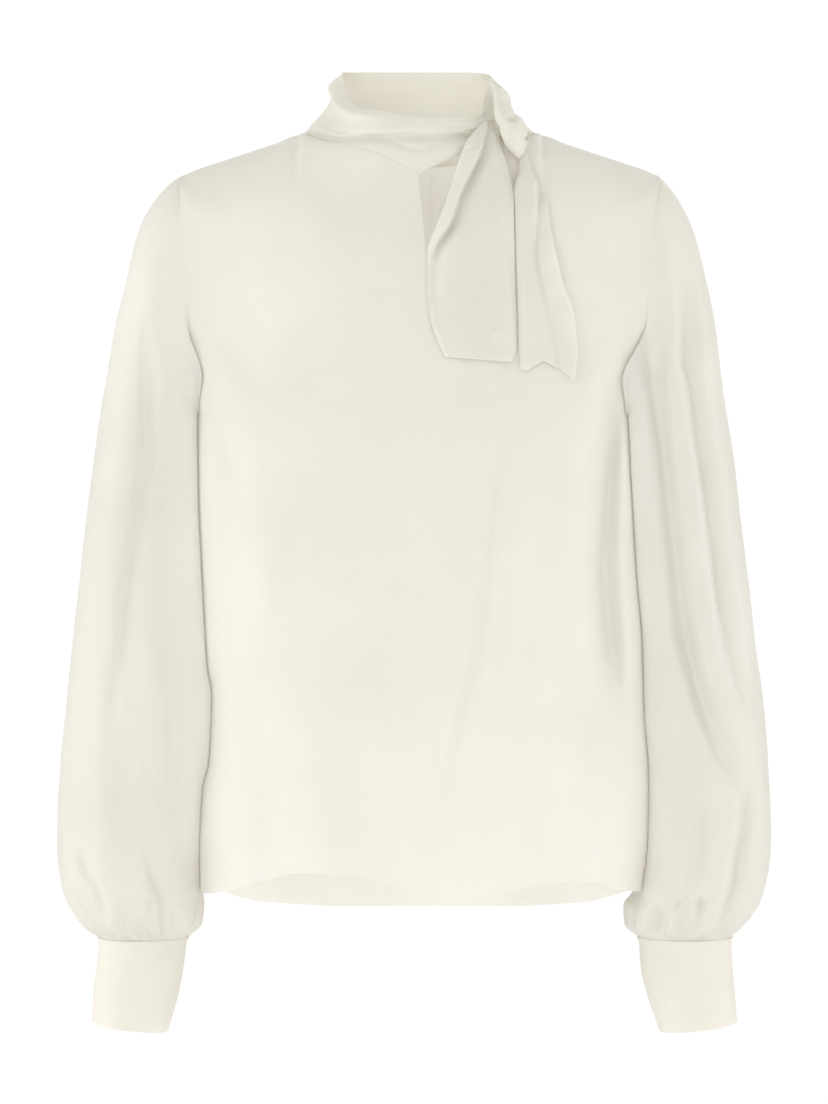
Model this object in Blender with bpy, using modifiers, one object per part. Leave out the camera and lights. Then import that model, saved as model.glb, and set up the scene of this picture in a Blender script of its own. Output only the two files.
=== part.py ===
"""A silk tie-neck blouse, filled out as if it were worn, in metres with +Z up and the front towards -Y.

The body is a front and a back cut in two, the sleeves are full and gathered into deep cuffs, and the
collar is a folded band that is knotted at the wearer's left, with both of its ends hanging down the front.
Every piece is a thin wall of cloth on a form that is worked out from the sizes and tables below. The
origin lies on the level of the shoulders, midway between them. Sizes in the tables are in millimetres.
"""

import math

import bmesh
import bpy
import numpy as np
from mathutils import Vector

MM = 0.001

# ---- driving sizes, in millimetres ----
CLOTH = 1.2  # wall of a single layer
DOUBLE_CLOTH = 1.8  # wall of the collar, the cuffs and the ties, which are folded double
KNOT_WALL = 2.6  # wall of the knot, which is several layers pulled tight
SEAM = 0.3  # between two pieces that are sewn together
SHOULDER_HALF = 190.0  # from the middle to the top of each armhole
SHOULDER_TIP_Z = -21.0
UNDERARM_Z = -215.0
ARMHOLE_FRONT = 58.0  # how far the armhole's curve reaches to the front and to the back
ARMHOLE_BACK = 62.0
ARMHOLE_FLARE = 4.0  # how closely the cloth's turn towards the armhole keeps to the sides
NECK_HALF = 96.0
NECK_FRONT = 85.0
NECK_BACK = 68.0
BODY_ROUNDNESS = 2.35  # exponent of the body's cross-section: 2 is an ellipse
SLEEVE_ROUNDNESS = 2.25
SHOULDER_ROLL_FRONT = 78.0  # height over which the cloth turns over the shoulder
SHOULDER_ROLL_BACK = 90.0
SLIT_BOTTOM_Z = -90.0
SIDE_HEM_Z = -592.0  # where the side seams end; the sleeves' fullness hangs below it
HEM_HALF = 176.0
BACK_SEAM_X = 9.0
CUFF_TOP_Z = -632.0

ARMHOLE_GAP = 1.0  # the sleeve leaves the body at an angle, so its seam is opened a little more
UNDERARM_GAP = 1.9  # at the underarm, where the sleeve's cloth folds back along the body
ARMHOLE_BLEND_ROWS = 3  # sections over which a sleeve turns from the armhole's shape to its own
SLEEVE_CLEAR = 3.2  # between the sleeve's cloth and the body's, where the sleeve lies against it
SHOULDER_GAP = 0.6  # the shoulder seam, which turns over the shoulder at an angle
COLLAR_GAP = 1.2  # the collar stands on the neckline at an angle, so its seam is opened a little more
COLLAR_HOLLOW = 5.0  # how far the collar's sides are hollowed below a straight line
KNOT_ARCH = 210.0  # degrees that the knot's band turns through
KNOT_FOLDS = 5  # lengthwise folds of the knot's band, for a full turn
KNOT_FOLD_DEPTH = 0.09  # as a share of the band's half width
TIE_FOLD_WIDTH = 5.0
TIE_EDGE_DROP = 2.0  # how far the edges of a hanging end fall back towards the body
TIE_LEVEL_Z = -8.0  # above this the ends follow the collar, which leans back, instead of the body
TIE_LEAN = 0.6
TIE_LEAST_LIFT = 2.4

# ---- how finely each piece is divided ----
BODY_LOW_ROWS, BODY_HIGH_ROWS = 12, 9  # rows of front and back below and above the underarm
HALF_COLUMNS = 12  # columns from the middle of the front or back to the side
SLEEVE_COLUMNS = 40
CUFF_COLUMNS, CUFF_ROWS = 32, 3
COLLAR_COLUMNS, COLLAR_ROWS = 44, 7
TIE_COLUMNS, TIE_ROWS = 12, 14
KNOT_COLUMNS, KNOT_ROWS = 12, 10


def table(columns, *rows):
    """Named columns of numbers, one row for each section."""
    return {name: np.array([row[i] for row in rows], float) for i, name in enumerate(columns.split())}


# Body sections: where the side is on the wearer's right and left, and how deep front and back are.
BODY = table(
    "z right left front back",
    (-640, 174, 178, 113, 106),
    (-590, 174, 179, 114, 105),
    (-550, 173.5, 182, 116, 104),
    (-509, 170.5, 183, 118, 103),
    (-480, 165.5, 182, 119, 103),
    (-435, 164.5, 178.5, 120, 103),
    (-400, 168.5, 176.5, 121, 103),
    (-350, 171, 174, 123, 104),
    (-300, 174, 172.5, 125, 105),
    (-250, 176, 172, 125, 107),
    (-215, 176.5, 171.5, 122, 108),
    (-180, 176.5, 172, 117, 107),
    (-140, 178, 176, 110, 104),
    (-100, 183, 178.5, 103, 97),
    (-60, 187.5, 183, 95, 84),
    (-21, 190, 190, 87, 68),
    (20, 190, 190, 84, 60),
)

# Upper edge of the front: the neckline out to the neck point, then the shoulder seam.
FRONT_TOP = table(
    "x z",
    (0, -28.5),
    (16, -21),
    (30, -14),
    (44, -8.5),
    (56, -5),
    (69, -1.5),
    (85, 5),
    (96, 11),
    (115, 4.5),
    (150, -7),
    (178, -16),
    (190, -21),
)
BACK_TOP = table(
    "x z",
    (0, -6),
    (30, -4),
    (60, 1),
    (85, 7.5),
    (96, 11),
    (115, 4.5),
    (150, -7),
    (178, -16),
    (190, -21),
)

# Hems, from the wearer's right side seam to the left one.
FRONT_HEM = table(
    "x z",
    (-176, -590),
    (-150, -584),
    (-121, -574),
    (-84, -567),
    (-46, -567),
    (-29, -572),
    (10, -582),
    (28, -584),
    (46, -583),
    (81, -577),
    (109, -574),
    (132, -576),
    (155, -584),
    (180, -588),
)
BACK_HEM = table(
    "x z",
    (-176, -590),
    (-165, -600),
    (-130, -612),
    (-60, -617),
    (60, -617),
    (130, -612),
    (165, -600),
    (180, -588),
)

# Edges of the slit below the neckline.
SLIT = table("z right left", (-170, -8, 8), (-90, 3.4, 5.6), (-60, 1.6, 14), (-28, -1.7, 27), (20, -1.7, 27))

# Sleeve sections: the outermost and the innermost point of each, how far its middle lies towards
# the back and how deep it is from there to the front.
SLEEVE = table(
    "out_z in_z right_out right_in left_out left_in middle depth",
    (-21, -215, 190, 177, 190, 173, 2, 60),
    (-27, -221, 202, 179, 198, 174.5, 0, 62),
    (-42, -230, 215, 179.5, 209, 175, -1, 63),
    (-68, -242, 225, 179.5, 219.5, 175, -2, 63),
    (-104, -258, 233.6, 179.5, 228, 175, -3, 62),
    (-140, -276, 242, 179.5, 234.5, 175.5, -4, 61),
    (-176, -297, 248, 178, 239, 175.5, -5, 60),
    (-212, -320, 254.5, 175.5, 244, 176, -6, 60),
    (-250, -346, 259.5, 174.5, 250, 177, -7, 60),
    (-296, -377, 265.6, 173.5, 255, 178.5, -8, 60),
    (-344, -410, 271, 171.5, 261.5, 180.5, -9, 61),
    (-392, -442, 276, 168.5, 266.5, 182.5, -10, 62),
    (-440, -474, 281, 168.5, 273, 184.5, -11, 64),
    (-488, -506, 287, 172.5, 277.5, 186.5, -12, 66),
    (-530, -539, 289.5, 176.5, 280, 186, -13, 67),
    (-562, -566, 289.5, 177.5, 279, 185, -14, 66),
    (-588, -589, 287, 177, 276, 182.5, -14, 64),
    (-608, -608, 279.5, 173.5, 269, 172, -14, 60),
    (-622, -622, 270.5, 174.5, 259, 168, -14, 52),
    (-630, -630, 259.5, 180, 250.5, 170.5, -14, 41),
    (-631.2, -631.2, 255, 185, 247, 174, -14, 34),
)

# Cuff sections, from its seam down to its edge.
CUFF = table(
    "down right_out right_in left_out left_in depth",
    (0, 255, 185, 247, 174, 34),
    (22, 256.5, 188.5, 248, 176, 33),
    (45, 259.5, 193, 250, 181.5, 31.5),
    (71, 260.5, 200, 252, 190, 29.5),
)
CUFF_SLANT = 0.12  # the cuff's edge rises towards its outer side by this share of its width

# The collar's upper edge, by the angle round the neck from its front towards the wearer's left.
COLLAR_RIM = table(
    "angle x y z",
    (-180, 0, 58, 71),
    (-150, -32, 51, 70),
    (-120, -55, 32, 66),
    (-100, -63, 12, 63),
    (-86, -63.5, -6, 59),
    (-73, -60.5, -22, 46),
    (-63, -56.5, -35, 33),
    (-50, -48, -48, 27),
    (-30, -31, -62, 23),
    (0, 0, -70, 17),
    (30, 31, -67, 17),
    (50, 50, -57, 18),
    (63, 60, -44, 25),
    (76, 66, -26, 40),
    (90, 67, -4, 50),
    (105, 62, 16, 57),
    (120, 54, 32, 62),
    (150, 31, 51, 68),
    (180, 0, 58, 71),
)
COLLAR_CREASE = 0.62  # how far up the band its soft lengthwise fold lies
COLLAR_CREASE_DEPTH = 3.4
COLLAR_ROLL = 3.2  # how far the band swells above and below that fold

# The two hanging ends of the tie: their edges, how far they stand off the body, and where the fold
# that runs down each of them lies, as a share of its width, with that fold's depth.
TIE_FRONT = table(
    "z right left lift fold depth",
    (13, 50, 60, 7, 0.70, 1),
    (4, 41.5, 64, 8.5, 0.66, 3),
    (-14, 32.5, 67.5, 9, 0.50, 5),
    (-31, 26.5, 70, 10.5, 0.36, 7),
    (-50, 21, 72, 10.5, 0.25, 7),
    (-70, 13.5, 72, 10, 0.20, 6),
    (-92, 5.5, 72.5, 8.5, 0.15, 4),
    (-118, 5, 72.5, 7, 0.12, 1.5),
    (-142, 7.5, 73.5, 6, 0.12, 0.5),
    (-164, 14, 73.5, 5, 0.12, 0),
    (-175, 19, 70, 4.5, 0.12, 0),
)
TIE_BACK = table(
    "z right left lift fold depth",
    (-12, 74.5, 84.5, 6, 0.55, 2),
    (-24, 73.5, 89, 7, 0.62, 4),
    (-40, 73, 97, 7.5, 0.68, 5),
    (-61, 73, 99, 6.5, 0.70, 5),
    (-91, 73.5, 104, 6, 0.66, 4),
    (-118, 74.5, 110.5, 5.5, 0.60, 3.5),
    (-136, 75, 118, 5, 0.62, 3),
    (-165, 75.5, 120.5, 4.5, 0.66, 3),
    (-181, 76, 118, 4, 0.66, 3),
)

# The knot: the line that its band follows over the roots of the two ends, and its half width.
KNOT = table(
    "along x y z half",
    (0.0, 58.5, -42.5, 41, 9),
    (0.25, 61.8, -55.3, 31, 11.5),
    (0.5, 65.2, -65.4, 16, 13),
    (0.75, 72.2, -73, 0, 12),
    (1.0, 78.5, -76.5, -12, 9),
)

# Creases in the body, as seen from in front or behind, from (x1, z1) to (x2, z2). A trough is negative.
FRONT_CREASES = table(
    "x1 z1 x2 z2 width depth",
    (66, -230, 46, -370, 13, -3.0),
    (46, -360, 24, -520, 11, -4.0),
    (146, -190, 142, -370, 20, -9.0),
    (112, -300, 128, -560, 24, -4.0),
    (-128, -420, -112, -585, 22, -3.5),
    (-84, -470, -70, -590, 18, 3.5),
    (-30, -480, -34, -590, 16, 3.0),
    (8, -470, 14, -590, 15, -3.5),
    (62, -500, 66, -590, 18, 3.5),
    (-150, -230, -140, -400, 16, -3.0),
    (-60, -60, -120, -210, 22, 2.0),
)
BACK_CREASES = table(
    "x1 z1 x2 z2 width depth",
    (-140, -200, -120, -380, 18, -5.0),
    (138, -190, 122, -400, 18, -6.0),
    (-60, -330, -76, -610, 16, -4.5),
    (-18, -420, -26, -615, 17, 4.0),
    (44, -380, 52, -615, 17, -4.5),
    (96, -430, 104, -610, 18, 4.0),
    (-112, -450, -118, -605, 17, 4.0),
    (70, -60, 110, -200, 22, 2.5),
)

# Creases in the sleeves, by the angle round the sleeve from its outer side over its front.
RIGHT_SLEEVE_CREASES = table(
    "angle1 z1 angle2 z2 width depth",
    (35, -90, 48, -420, 12, -3.5),
    (70, -150, 60, -560, 13, 3.5),
    (95, -110, 85, -590, 12, -4.0),
    (125, -170, 118, -520, 14, 4.0),
    (55, -430, 30, -600, 13, -4.0),
    (110, -470, 122, -610, 11, -4.0),
    (155, -240, 155, -600, 22, 12.0),
    (215, -150, 225, -560, 13, -4.5),
    (250, -120, 262, -580, 13, 4.0),
    (290, -140, 285, -520, 13, -4.5),
    (325, -250, 318, -600, 14, 3.5),
)
LEFT_SLEEVE_CREASES = table(
    "angle1 z1 angle2 z2 width depth",
    (112, -150, 92, -420, 11, -6.0),
    (92, -400, 38, -560, 12, -6.0),
    (62, -90, 58, -330, 11, -5.5),
    (58, -310, 24, -500, 11, -5.0),
    (85, -160, 72, -420, 12, 3.5),
    (128, -350, 120, -600, 13, -4.0),
    (155, -190, 155, -600, 22, 12.0),
    (150, -596, 150, -628, 26, 8.0),
    (70, -520, 48, -610, 11, -4.0),
    (215, -140, 225, -540, 13, -4.5),
    (250, -110, 262, -560, 13, 4.0),
    (290, -150, 285, -560, 13, -4.5),
    (325, -230, 318, -600, 14, 3.5),
)
CUFF_GATHERS = 10  # soft pleats of each sleeve where it is gathered into its cuff
CUFF_GATHER_DEPTH = 2.6
CUFF_GATHER_REACH = 70.0
HEAD_GATHERS = 5  # soft pleats over the top of each sleeve
HEAD_GATHER_DEPTH = 1.6
HEAD_GATHER_REACH = 55.0

IVORY = (0.82, 0.79, 0.70, 1.0)


# ---- reading the tables ----
def read(rows, key, name, at):
    """The column `name` where the rising or falling column `key` is `at`, on a smooth curve."""
    xs, ys = rows[key], rows[name]
    if xs[0] > xs[-1]:
        xs, ys = xs[::-1], ys[::-1]
    at = min(max(at, xs[0]), xs[-1])
    i = min(int(np.searchsorted(xs, at, side="right")) - 1, len(xs) - 2)
    step = xs[i + 1] - xs[i]
    t = (at - xs[i]) / step
    start, end = slope_at(xs, ys, i), slope_at(xs, ys, i + 1)
    return (
        (1 + 2 * t) * (1 - t) ** 2 * ys[i]
        + t * (1 - t) ** 2 * step * start
        + t * t * (3 - 2 * t) * ys[i + 1]
        + t * t * (t - 1) * step * end
    )


def slope_at(xs, ys, i):
    """The slope at one row, level where the column turns, so that the curve never overshoots."""
    before, after = max(i - 1, 0), min(i + 1, len(xs) - 1)
    left = (ys[i] - ys[before]) / (xs[i] - xs[before]) if before < i else None
    right = (ys[after] - ys[i]) / (xs[after] - xs[i]) if after > i else None
    if left is None or right is None:
        return right if left is None else left
    return 2 * left * right / (left + right) if left * right > 0 else 0.0


def blend(a, b, share):
    return a + (b - a) * share


def ease(value):
    """0 below 0, 1 above 1, and a smooth step between them."""
    value = min(max(value, 0.0), 1.0)
    return value * value * (3 - 2 * value)


def fuller(value, roundness):
    """A sine or cosine of a circle, turned into that of a fuller section."""
    return math.copysign(abs(value) ** (2 / roundness), value)


def crease_lift(rows, keys, across, height):
    """How far the creases of a table lift the cloth at one place."""
    lift = 0.0
    for x1, z1, x2, z2, width, depth in zip(*(rows[key] for key in keys), rows["width"], rows["depth"]):
        run_x, run_z = x2 - x1, z2 - z1
        length = math.hypot(run_x, run_z)
        along = ((across - x1) * run_x + (height - z1) * run_z) / length**2
        aside = ((across - x1) * run_z - (height - z1) * run_x) / length
        fade = ease((along + 0.2) / 0.5) * ease((1.2 - along) / 0.5)
        lift += depth * fade * math.exp(-((aside / width) ** 2))
    return lift


# ---- the body ----
def side_at(side, z):
    """Where the side seam or the armhole lies at a height, on the side that `side` has the sign of."""
    return read(BODY, "z", "left" if side > 0 else "right", z)


def armhole_reach(z, deepest):
    """How far the armhole's curve lies to the front or back of the shoulder seam at a height."""
    middle = (SHOULDER_TIP_Z + UNDERARM_Z) / 2
    half = (SHOULDER_TIP_Z - UNDERARM_Z) / 2
    return deepest * math.sqrt(max(0.0, 1 - ((z - middle) / half) ** 2))


def body_depth(x, z, part):
    """How far the front or the back lies from the plane of the side seams."""
    front = part == "front"
    share = min(1.0, abs(x) / side_at(x, z))
    section = read(BODY, "z", part, z) * (1 - share**BODY_ROUNDNESS) ** (1 / BODY_ROUNDNESS)
    reach = armhole_reach(z, ARMHOLE_FRONT if front else ARMHOLE_BACK) * share**ARMHOLE_FLARE
    row = math.hypot(section, reach)
    top_z = read(FRONT_TOP if front else BACK_TOP, "x", "z", abs(x))
    top = (NECK_FRONT if front else NECK_BACK) * math.sqrt(max(0.0, 1 - (x / NECK_HALF) ** 2))
    roll = (SHOULDER_ROLL_FRONT if front else SHOULDER_ROLL_BACK) * math.sqrt(max(1e-6, 1 - share**4))
    turned = min(1.0, max(0.0, (top_z - z) / roll))
    return blend(top, row, math.sqrt(1 - (1 - turned) ** 2))


def body_point(x, z, part):
    """A point of the front or back, with its creases."""
    rows = FRONT_CREASES if part == "front" else BACK_CREASES
    edge = ease(7 * (1 - min(1.0, abs(x) / side_at(x, z)))) * ease((-30 - z) / 60)
    seam = blend(SEAM, SHOULDER_GAP, ease((z - UNDERARM_Z) / (SHOULDER_TIP_Z - UNDERARM_Z)))
    depth = body_depth(x, z, part) + edge * crease_lift(rows, ("x1", "z1", "x2", "z2"), x, z) + seam / 2
    return Vector((x, -depth if part == "front" else depth, z))


def inner_edge(part, side, z):
    """Where the panel ends at its middle: at the slit in the front, or at the seam in the back."""
    if part == "back":
        return BACK_SEAM_X + side * SEAM / 2
    return read(SLIT, "z", "left" if side > 0 else "right", z)


def body_place(part, side, column, row):
    """Where a column and a row of a panel cross. Columns count from the middle towards one side."""
    share = column / HALF_COLUMNS
    across = math.sin(share * math.pi / 2)
    if row <= BODY_LOW_ROWS:
        hem_z = read(FRONT_HEM if part == "front" else BACK_HEM, "x", "z", side * across * HEM_HALF)
        side_z = z = blend(hem_z, UNDERARM_Z, row / BODY_LOW_ROWS)
    else:
        up = 0.5 - 0.5 * math.cos(math.pi * (row - BODY_LOW_ROWS) / BODY_HIGH_ROWS)
        side_z = blend(UNDERARM_Z, SHOULDER_TIP_Z, up)
        top_inner = inner_edge(part, side, 0)
        top_x = np.interp(share, (0, 0.5, 1), (top_inner, side * NECK_HALF, side * SHOULDER_HALF))
        top_z = read(FRONT_TOP if part == "front" else BACK_TOP, "x", "z", abs(top_x))
        z = side_z + up * (top_z - SHOULDER_TIP_Z)
        across = blend(across, (top_x - top_inner) / (side * SHOULDER_HALF - top_inner), up)
    return body_point(blend(inner_edge(part, side, z), side * side_at(side, side_z), across), z, part)


# ---- the sleeves and cuffs ----
def ring_point(outer, inner, middle, depth, angle, roundness):
    """A point of a section that spans from an outer to an inner point. The angle runs over its front."""
    centre, arm = (outer + inner) / 2, (outer - inner) / 2
    point = centre + arm * fuller(math.cos(angle), roundness)
    point.y = middle - depth * fuller(math.sin(angle), roundness)
    return point, Vector((centre.x, middle, centre.z))


def armhole_point(side, angle):
    """A point of the armhole's seam, opened a little more where the cloth folds back at the underarm."""
    z = (SHOULDER_TIP_Z + UNDERARM_Z) / 2 + (SHOULDER_TIP_Z - UNDERARM_Z) / 2 * math.cos(angle)
    reach = ARMHOLE_FRONT if math.sin(angle) > 0 else ARMHOLE_BACK
    gap = blend(ARMHOLE_GAP, UNDERARM_GAP, ((1 - math.cos(angle)) / 2) ** 2)
    return Vector((side * (side_at(side, z) + gap), -reach * math.sin(angle), z + gap / 2))


def clear_of_body(side, point):
    """The same point, moved sideways where it would come nearer to the body than a sleeve can hang."""
    if not SIDE_HEM_Z < point.z < UNDERARM_Z:
        return point
    share = abs(point.y) / read(BODY, "z", "front" if point.y < 0 else "back", point.z)
    body = side_at(side, point.z) * max(0.0, 1 - share**BODY_ROUNDNESS) ** (1 / BODY_ROUNDNESS)
    point.x = side * max(side * point.x, body + SLEEVE_CLEAR)
    return point


def sleeve_place(side, angle, row):
    """Where a lengthwise line of a sleeve crosses its section number `row`."""
    name = "left" if side > 0 else "right"
    sizes = {key: SLEEVE[key][row] for key in SLEEVE}
    outer = Vector((side * sizes[name + "_out"], 0, sizes["out_z"]))
    inner = Vector((side * sizes[name + "_in"], 0, sizes["in_z"]))
    point, centre = ring_point(outer, inner, sizes["middle"], sizes["depth"], angle, SLEEVE_ROUNDNESS)
    outwards = (point - centre).normalized()
    degrees = math.degrees(angle)
    rows = LEFT_SLEEVE_CREASES if side > 0 else RIGHT_SLEEVE_CREASES
    lift = crease_lift(rows, ("angle1", "z1", "angle2", "z2"), degrees, point.z)
    lift *= ease(row / 3) * ease((point.z - CUFF_TOP_Z) / 12)
    over_cuff = point.z - CUFF_TOP_Z
    gathered = ease(over_cuff / 9) * ease(1 - over_cuff / CUFF_GATHER_REACH)
    lift += CUFF_GATHER_DEPTH * math.cos(CUFF_GATHERS * angle) * gathered
    from_head = side * point.x - side_at(side, point.z) if point.z > UNDERARM_Z else HEAD_GATHER_REACH
    head = ease(from_head / 9) * ease(1 - from_head / HEAD_GATHER_REACH) * max(0.0, math.cos(angle)) ** 0.5
    lift += HEAD_GATHER_DEPTH * math.cos(2 * HEAD_GATHERS * angle) * head
    point = clear_of_body(side, point + outwards * lift)
    return armhole_point(side, angle).lerp(point, ease(row / ARMHOLE_BLEND_ROWS))


def cuff_place(side, angle, row):
    name = "left" if side > 0 else "right"
    down = blend(SEAM, CUFF["down"][-1], row / CUFF_ROWS)
    sizes = {key: read(CUFF, "down", key, down) for key in CUFF}
    outer = Vector((side * sizes[name + "_out"], 0, CUFF_TOP_Z - down))
    inner = Vector((side * sizes[name + "_in"], 0, CUFF_TOP_Z - down))
    point, centre = ring_point(outer, inner, SLEEVE["middle"][-1], sizes["depth"], angle, 2.0)
    point.z += CUFF_SLANT * side * (point.x - centre.x) * row / CUFF_ROWS
    return point


# ---- the collar and the tie ----
def collar_place(angle, up):
    """A point of the collar, by the angle from its front and the share of its height."""
    x = NECK_HALF * math.sin(angle)
    front = math.cos(angle) > 0
    low = Vector((x, -(NECK_FRONT if front else NECK_BACK) * math.cos(angle), 0))
    low.z = read(FRONT_TOP if front else BACK_TOP, "x", "z", abs(x)) + COLLAR_GAP
    rim = Vector([read(COLLAR_RIM, "angle", axis, math.degrees(angle)) for axis in "xyz"])
    point = low.lerp(rim, up)
    outwards = Vector((point.x, point.y, 0)).normalized()
    side_share = abs(math.sin(angle))
    point -= outwards * COLLAR_HOLLOW * side_share * math.sin(math.pi * up)
    folded = ease((math.cos(angle) + 0.2) / 0.7)
    crease = math.exp(-(((up - COLLAR_CREASE) / 0.11) ** 2))
    swell = math.sin(math.pi * up) ** 0.5
    return point + outwards * folded * (COLLAR_ROLL * swell - (COLLAR_ROLL + COLLAR_CREASE_DEPTH) * crease)


def tie_place(rows, across, along):
    """A point of one hanging end, which lies on the front's own surface, moved out from it."""
    z = blend(rows["z"][0], rows["z"][-1], along)
    sizes = {key: read(rows, "z", key, z) for key in rows}
    x = blend(sizes["right"], sizes["left"], across)
    from_fold = (across - sizes["fold"]) * (sizes["left"] - sizes["right"])
    lift = sizes["lift"] - sizes["depth"] * math.exp(-((from_fold / TIE_FOLD_WIDTH) ** 2))
    lift -= TIE_EDGE_DROP * (2 * abs(across - 0.5)) ** 4
    point = body_point(x, min(z, TIE_LEVEL_Z), "front")
    lean = TIE_LEAN * max(0.0, z - TIE_LEVEL_Z)
    return Vector((x, point.y - max(lift, TIE_LEAST_LIFT) + lean, z))


def knot_place(across, along):
    """A point of the knot's band, an arch that bends over the roots of the two ends."""
    middle = Vector([read(KNOT, "along", axis, along) for axis in "xyz"])
    half = read(KNOT, "along", "half", along)
    ahead = Vector([read(KNOT, "along", axis, min(along + 0.02, 1)) for axis in "xyz"])
    behind = Vector([read(KNOT, "along", axis, max(along - 0.02, 0)) for axis in "xyz"])
    run = (ahead - behind).normalized()
    outwards = Vector((middle.x, middle.y, 0)).normalized()
    outwards = (outwards - run * outwards.dot(run)).normalized()
    aside = run.cross(outwards)
    turn = math.radians(KNOT_ARCH) * (across - 0.5)
    ripple = 1 + KNOT_FOLD_DEPTH * math.cos(KNOT_FOLDS * turn + 2 * along)
    return middle + (aside * math.sin(turn) + outwards * math.cos(turn)) * half * ripple


# ---- making the objects ----
def make_collection(name):
    collection = bpy.data.collections.new(name)
    bpy.context.scene.collection.children.link(collection)
    return collection


def silk(name, shade):
    """Matt-soft silk, a little lighter or darker for each piece."""
    material = bpy.data.materials.new(name)
    material.use_nodes = True
    shader = material.node_tree.nodes["Principled BSDF"]
    shader.inputs["Base Color"].default_value = [channel * shade for channel in IVORY[:3]] + [1.0]
    shader.inputs["Roughness"].default_value = 0.55
    shader.inputs["Metallic"].default_value = 0.0
    return material


def cloth(collection, name, columns, rows, place, wall, closed=False, cut_out=None, shade=1.0):
    """A sheet of cloth: a grid whose every point `place` puts on its form, given its wall."""
    sheet = bmesh.new()
    bmesh.ops.create_grid(sheet, x_segments=columns, y_segments=rows, size=0.5)
    places = {}
    for vert in sheet.verts:
        places[vert] = (round((vert.co.x + 0.5) * columns), round((vert.co.y + 0.5) * rows))
    if cut_out:
        gone = [face for face in sheet.faces if cut_out([places[vert] for vert in face.verts])]
        bmesh.ops.delete(sheet, geom=gone, context="FACES")
    for vert in sheet.verts:
        vert.co = place(*places[vert]) * MM
    if closed:
        bmesh.ops.remove_doubles(sheet, verts=sheet.verts, dist=1e-6)
    bmesh.ops.recalc_face_normals(sheet, faces=sheet.faces)
    mesh = bpy.data.meshes.new(name)
    sheet.to_mesh(mesh)
    sheet.free()
    mesh.shade_smooth()
    mesh.materials.append(silk(name, shade))
    piece = bpy.data.objects.new(name, mesh)
    collection.objects.link(piece)
    thickness = piece.modifiers.new("Wall", "SOLIDIFY")
    thickness.thickness = wall * MM
    thickness.offset = 0
    thickness.use_even_offset = True
    return piece


def make_front(collection):
    def place(column, row):
        if column <= HALF_COLUMNS:
            return body_place("front", -1, HALF_COLUMNS - column, row)
        return body_place("front", 1, column - HALF_COLUMNS - 1, row)

    def in_slit(corners):
        middle = sum(column for column, _ in corners) / 4 == HALF_COLUMNS + 0.5
        return middle and sum(place(*corner).z for corner in corners) / 4 > SLIT_BOTTOM_Z

    columns, rows = 2 * HALF_COLUMNS + 1, BODY_LOW_ROWS + BODY_HIGH_ROWS
    cloth(collection, "front", columns, rows, place, CLOTH, cut_out=in_slit)


def make_back(collection, side, name):
    def place(column, row):
        return body_place("back", side, column, row)

    cloth(collection, name, HALF_COLUMNS, BODY_LOW_ROWS + BODY_HIGH_ROWS, place, CLOTH, shade=0.98)


def make_sleeve(collection, side, name):
    def place(column, row):
        return sleeve_place(side, 2 * math.pi * column / SLEEVE_COLUMNS, row)

    cloth(collection, "sleeve_" + name, SLEEVE_COLUMNS, len(SLEEVE["depth"]) - 1, place, CLOTH, closed=True)


def make_cuff(collection, side, name):
    def place(column, row):
        return cuff_place(side, 2 * math.pi * column / CUFF_COLUMNS, row)

    cloth(collection, "cuff_" + name, CUFF_COLUMNS, CUFF_ROWS, place, DOUBLE_CLOTH, closed=True, shade=1.01)


def make_collar(collection):
    def place(column, row):
        return collar_place(2 * math.pi * column / COLLAR_COLUMNS - math.pi, row / COLLAR_ROWS)

    cloth(collection, "collar", COLLAR_COLUMNS, COLLAR_ROWS, place, DOUBLE_CLOTH, closed=True)


def make_tie(collection, rows, name):
    def place(column, row):
        return tie_place(rows, column / TIE_COLUMNS, row / TIE_ROWS)

    cloth(collection, name, TIE_COLUMNS, TIE_ROWS, place, DOUBLE_CLOTH)


def make_knot(collection):
    def place(column, row):
        return knot_place(column / KNOT_COLUMNS, row / KNOT_ROWS)

    cloth(collection, "knot", KNOT_COLUMNS, KNOT_ROWS, place, KNOT_WALL)


def main():
    for old in list(bpy.data.objects):
        bpy.data.objects.remove(old)
    blouse = make_collection("silk_blouse")
    make_front(blouse)
    make_back(blouse, -1, "back_right")
    make_back(blouse, 1, "back_left")
    for side, name in ((-1, "right"), (1, "left")):
        make_sleeve(blouse, side, name)
        make_cuff(blouse, side, name)
    make_collar(blouse)
    make_tie(blouse, TIE_FRONT, "tie_end_front")
    make_tie(blouse, TIE_BACK, "tie_end_back")
    make_knot(blouse)


main()
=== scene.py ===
"""The looks of a silk tie-neck blouse: a fine sheet of cloth on the form of each solid, with its folds and
gathers. The cloth's sizes are in millimetres, with +Z up, the front towards -Y and the wearer's left towards +X.
"""

import math

import bmesh
import bpy
import numpy as np
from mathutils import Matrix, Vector


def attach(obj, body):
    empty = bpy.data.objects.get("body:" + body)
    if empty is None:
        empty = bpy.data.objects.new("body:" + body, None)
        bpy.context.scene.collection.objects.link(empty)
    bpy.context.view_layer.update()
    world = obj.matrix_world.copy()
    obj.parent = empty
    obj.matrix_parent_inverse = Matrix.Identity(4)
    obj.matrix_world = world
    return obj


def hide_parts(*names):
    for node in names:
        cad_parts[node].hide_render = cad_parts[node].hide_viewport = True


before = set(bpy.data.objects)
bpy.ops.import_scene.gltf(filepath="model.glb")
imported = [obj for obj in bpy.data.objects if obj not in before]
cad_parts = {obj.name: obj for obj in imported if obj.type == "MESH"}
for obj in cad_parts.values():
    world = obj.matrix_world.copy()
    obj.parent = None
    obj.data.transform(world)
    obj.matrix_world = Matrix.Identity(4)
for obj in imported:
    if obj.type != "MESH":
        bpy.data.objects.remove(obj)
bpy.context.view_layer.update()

MM = 0.001

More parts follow.
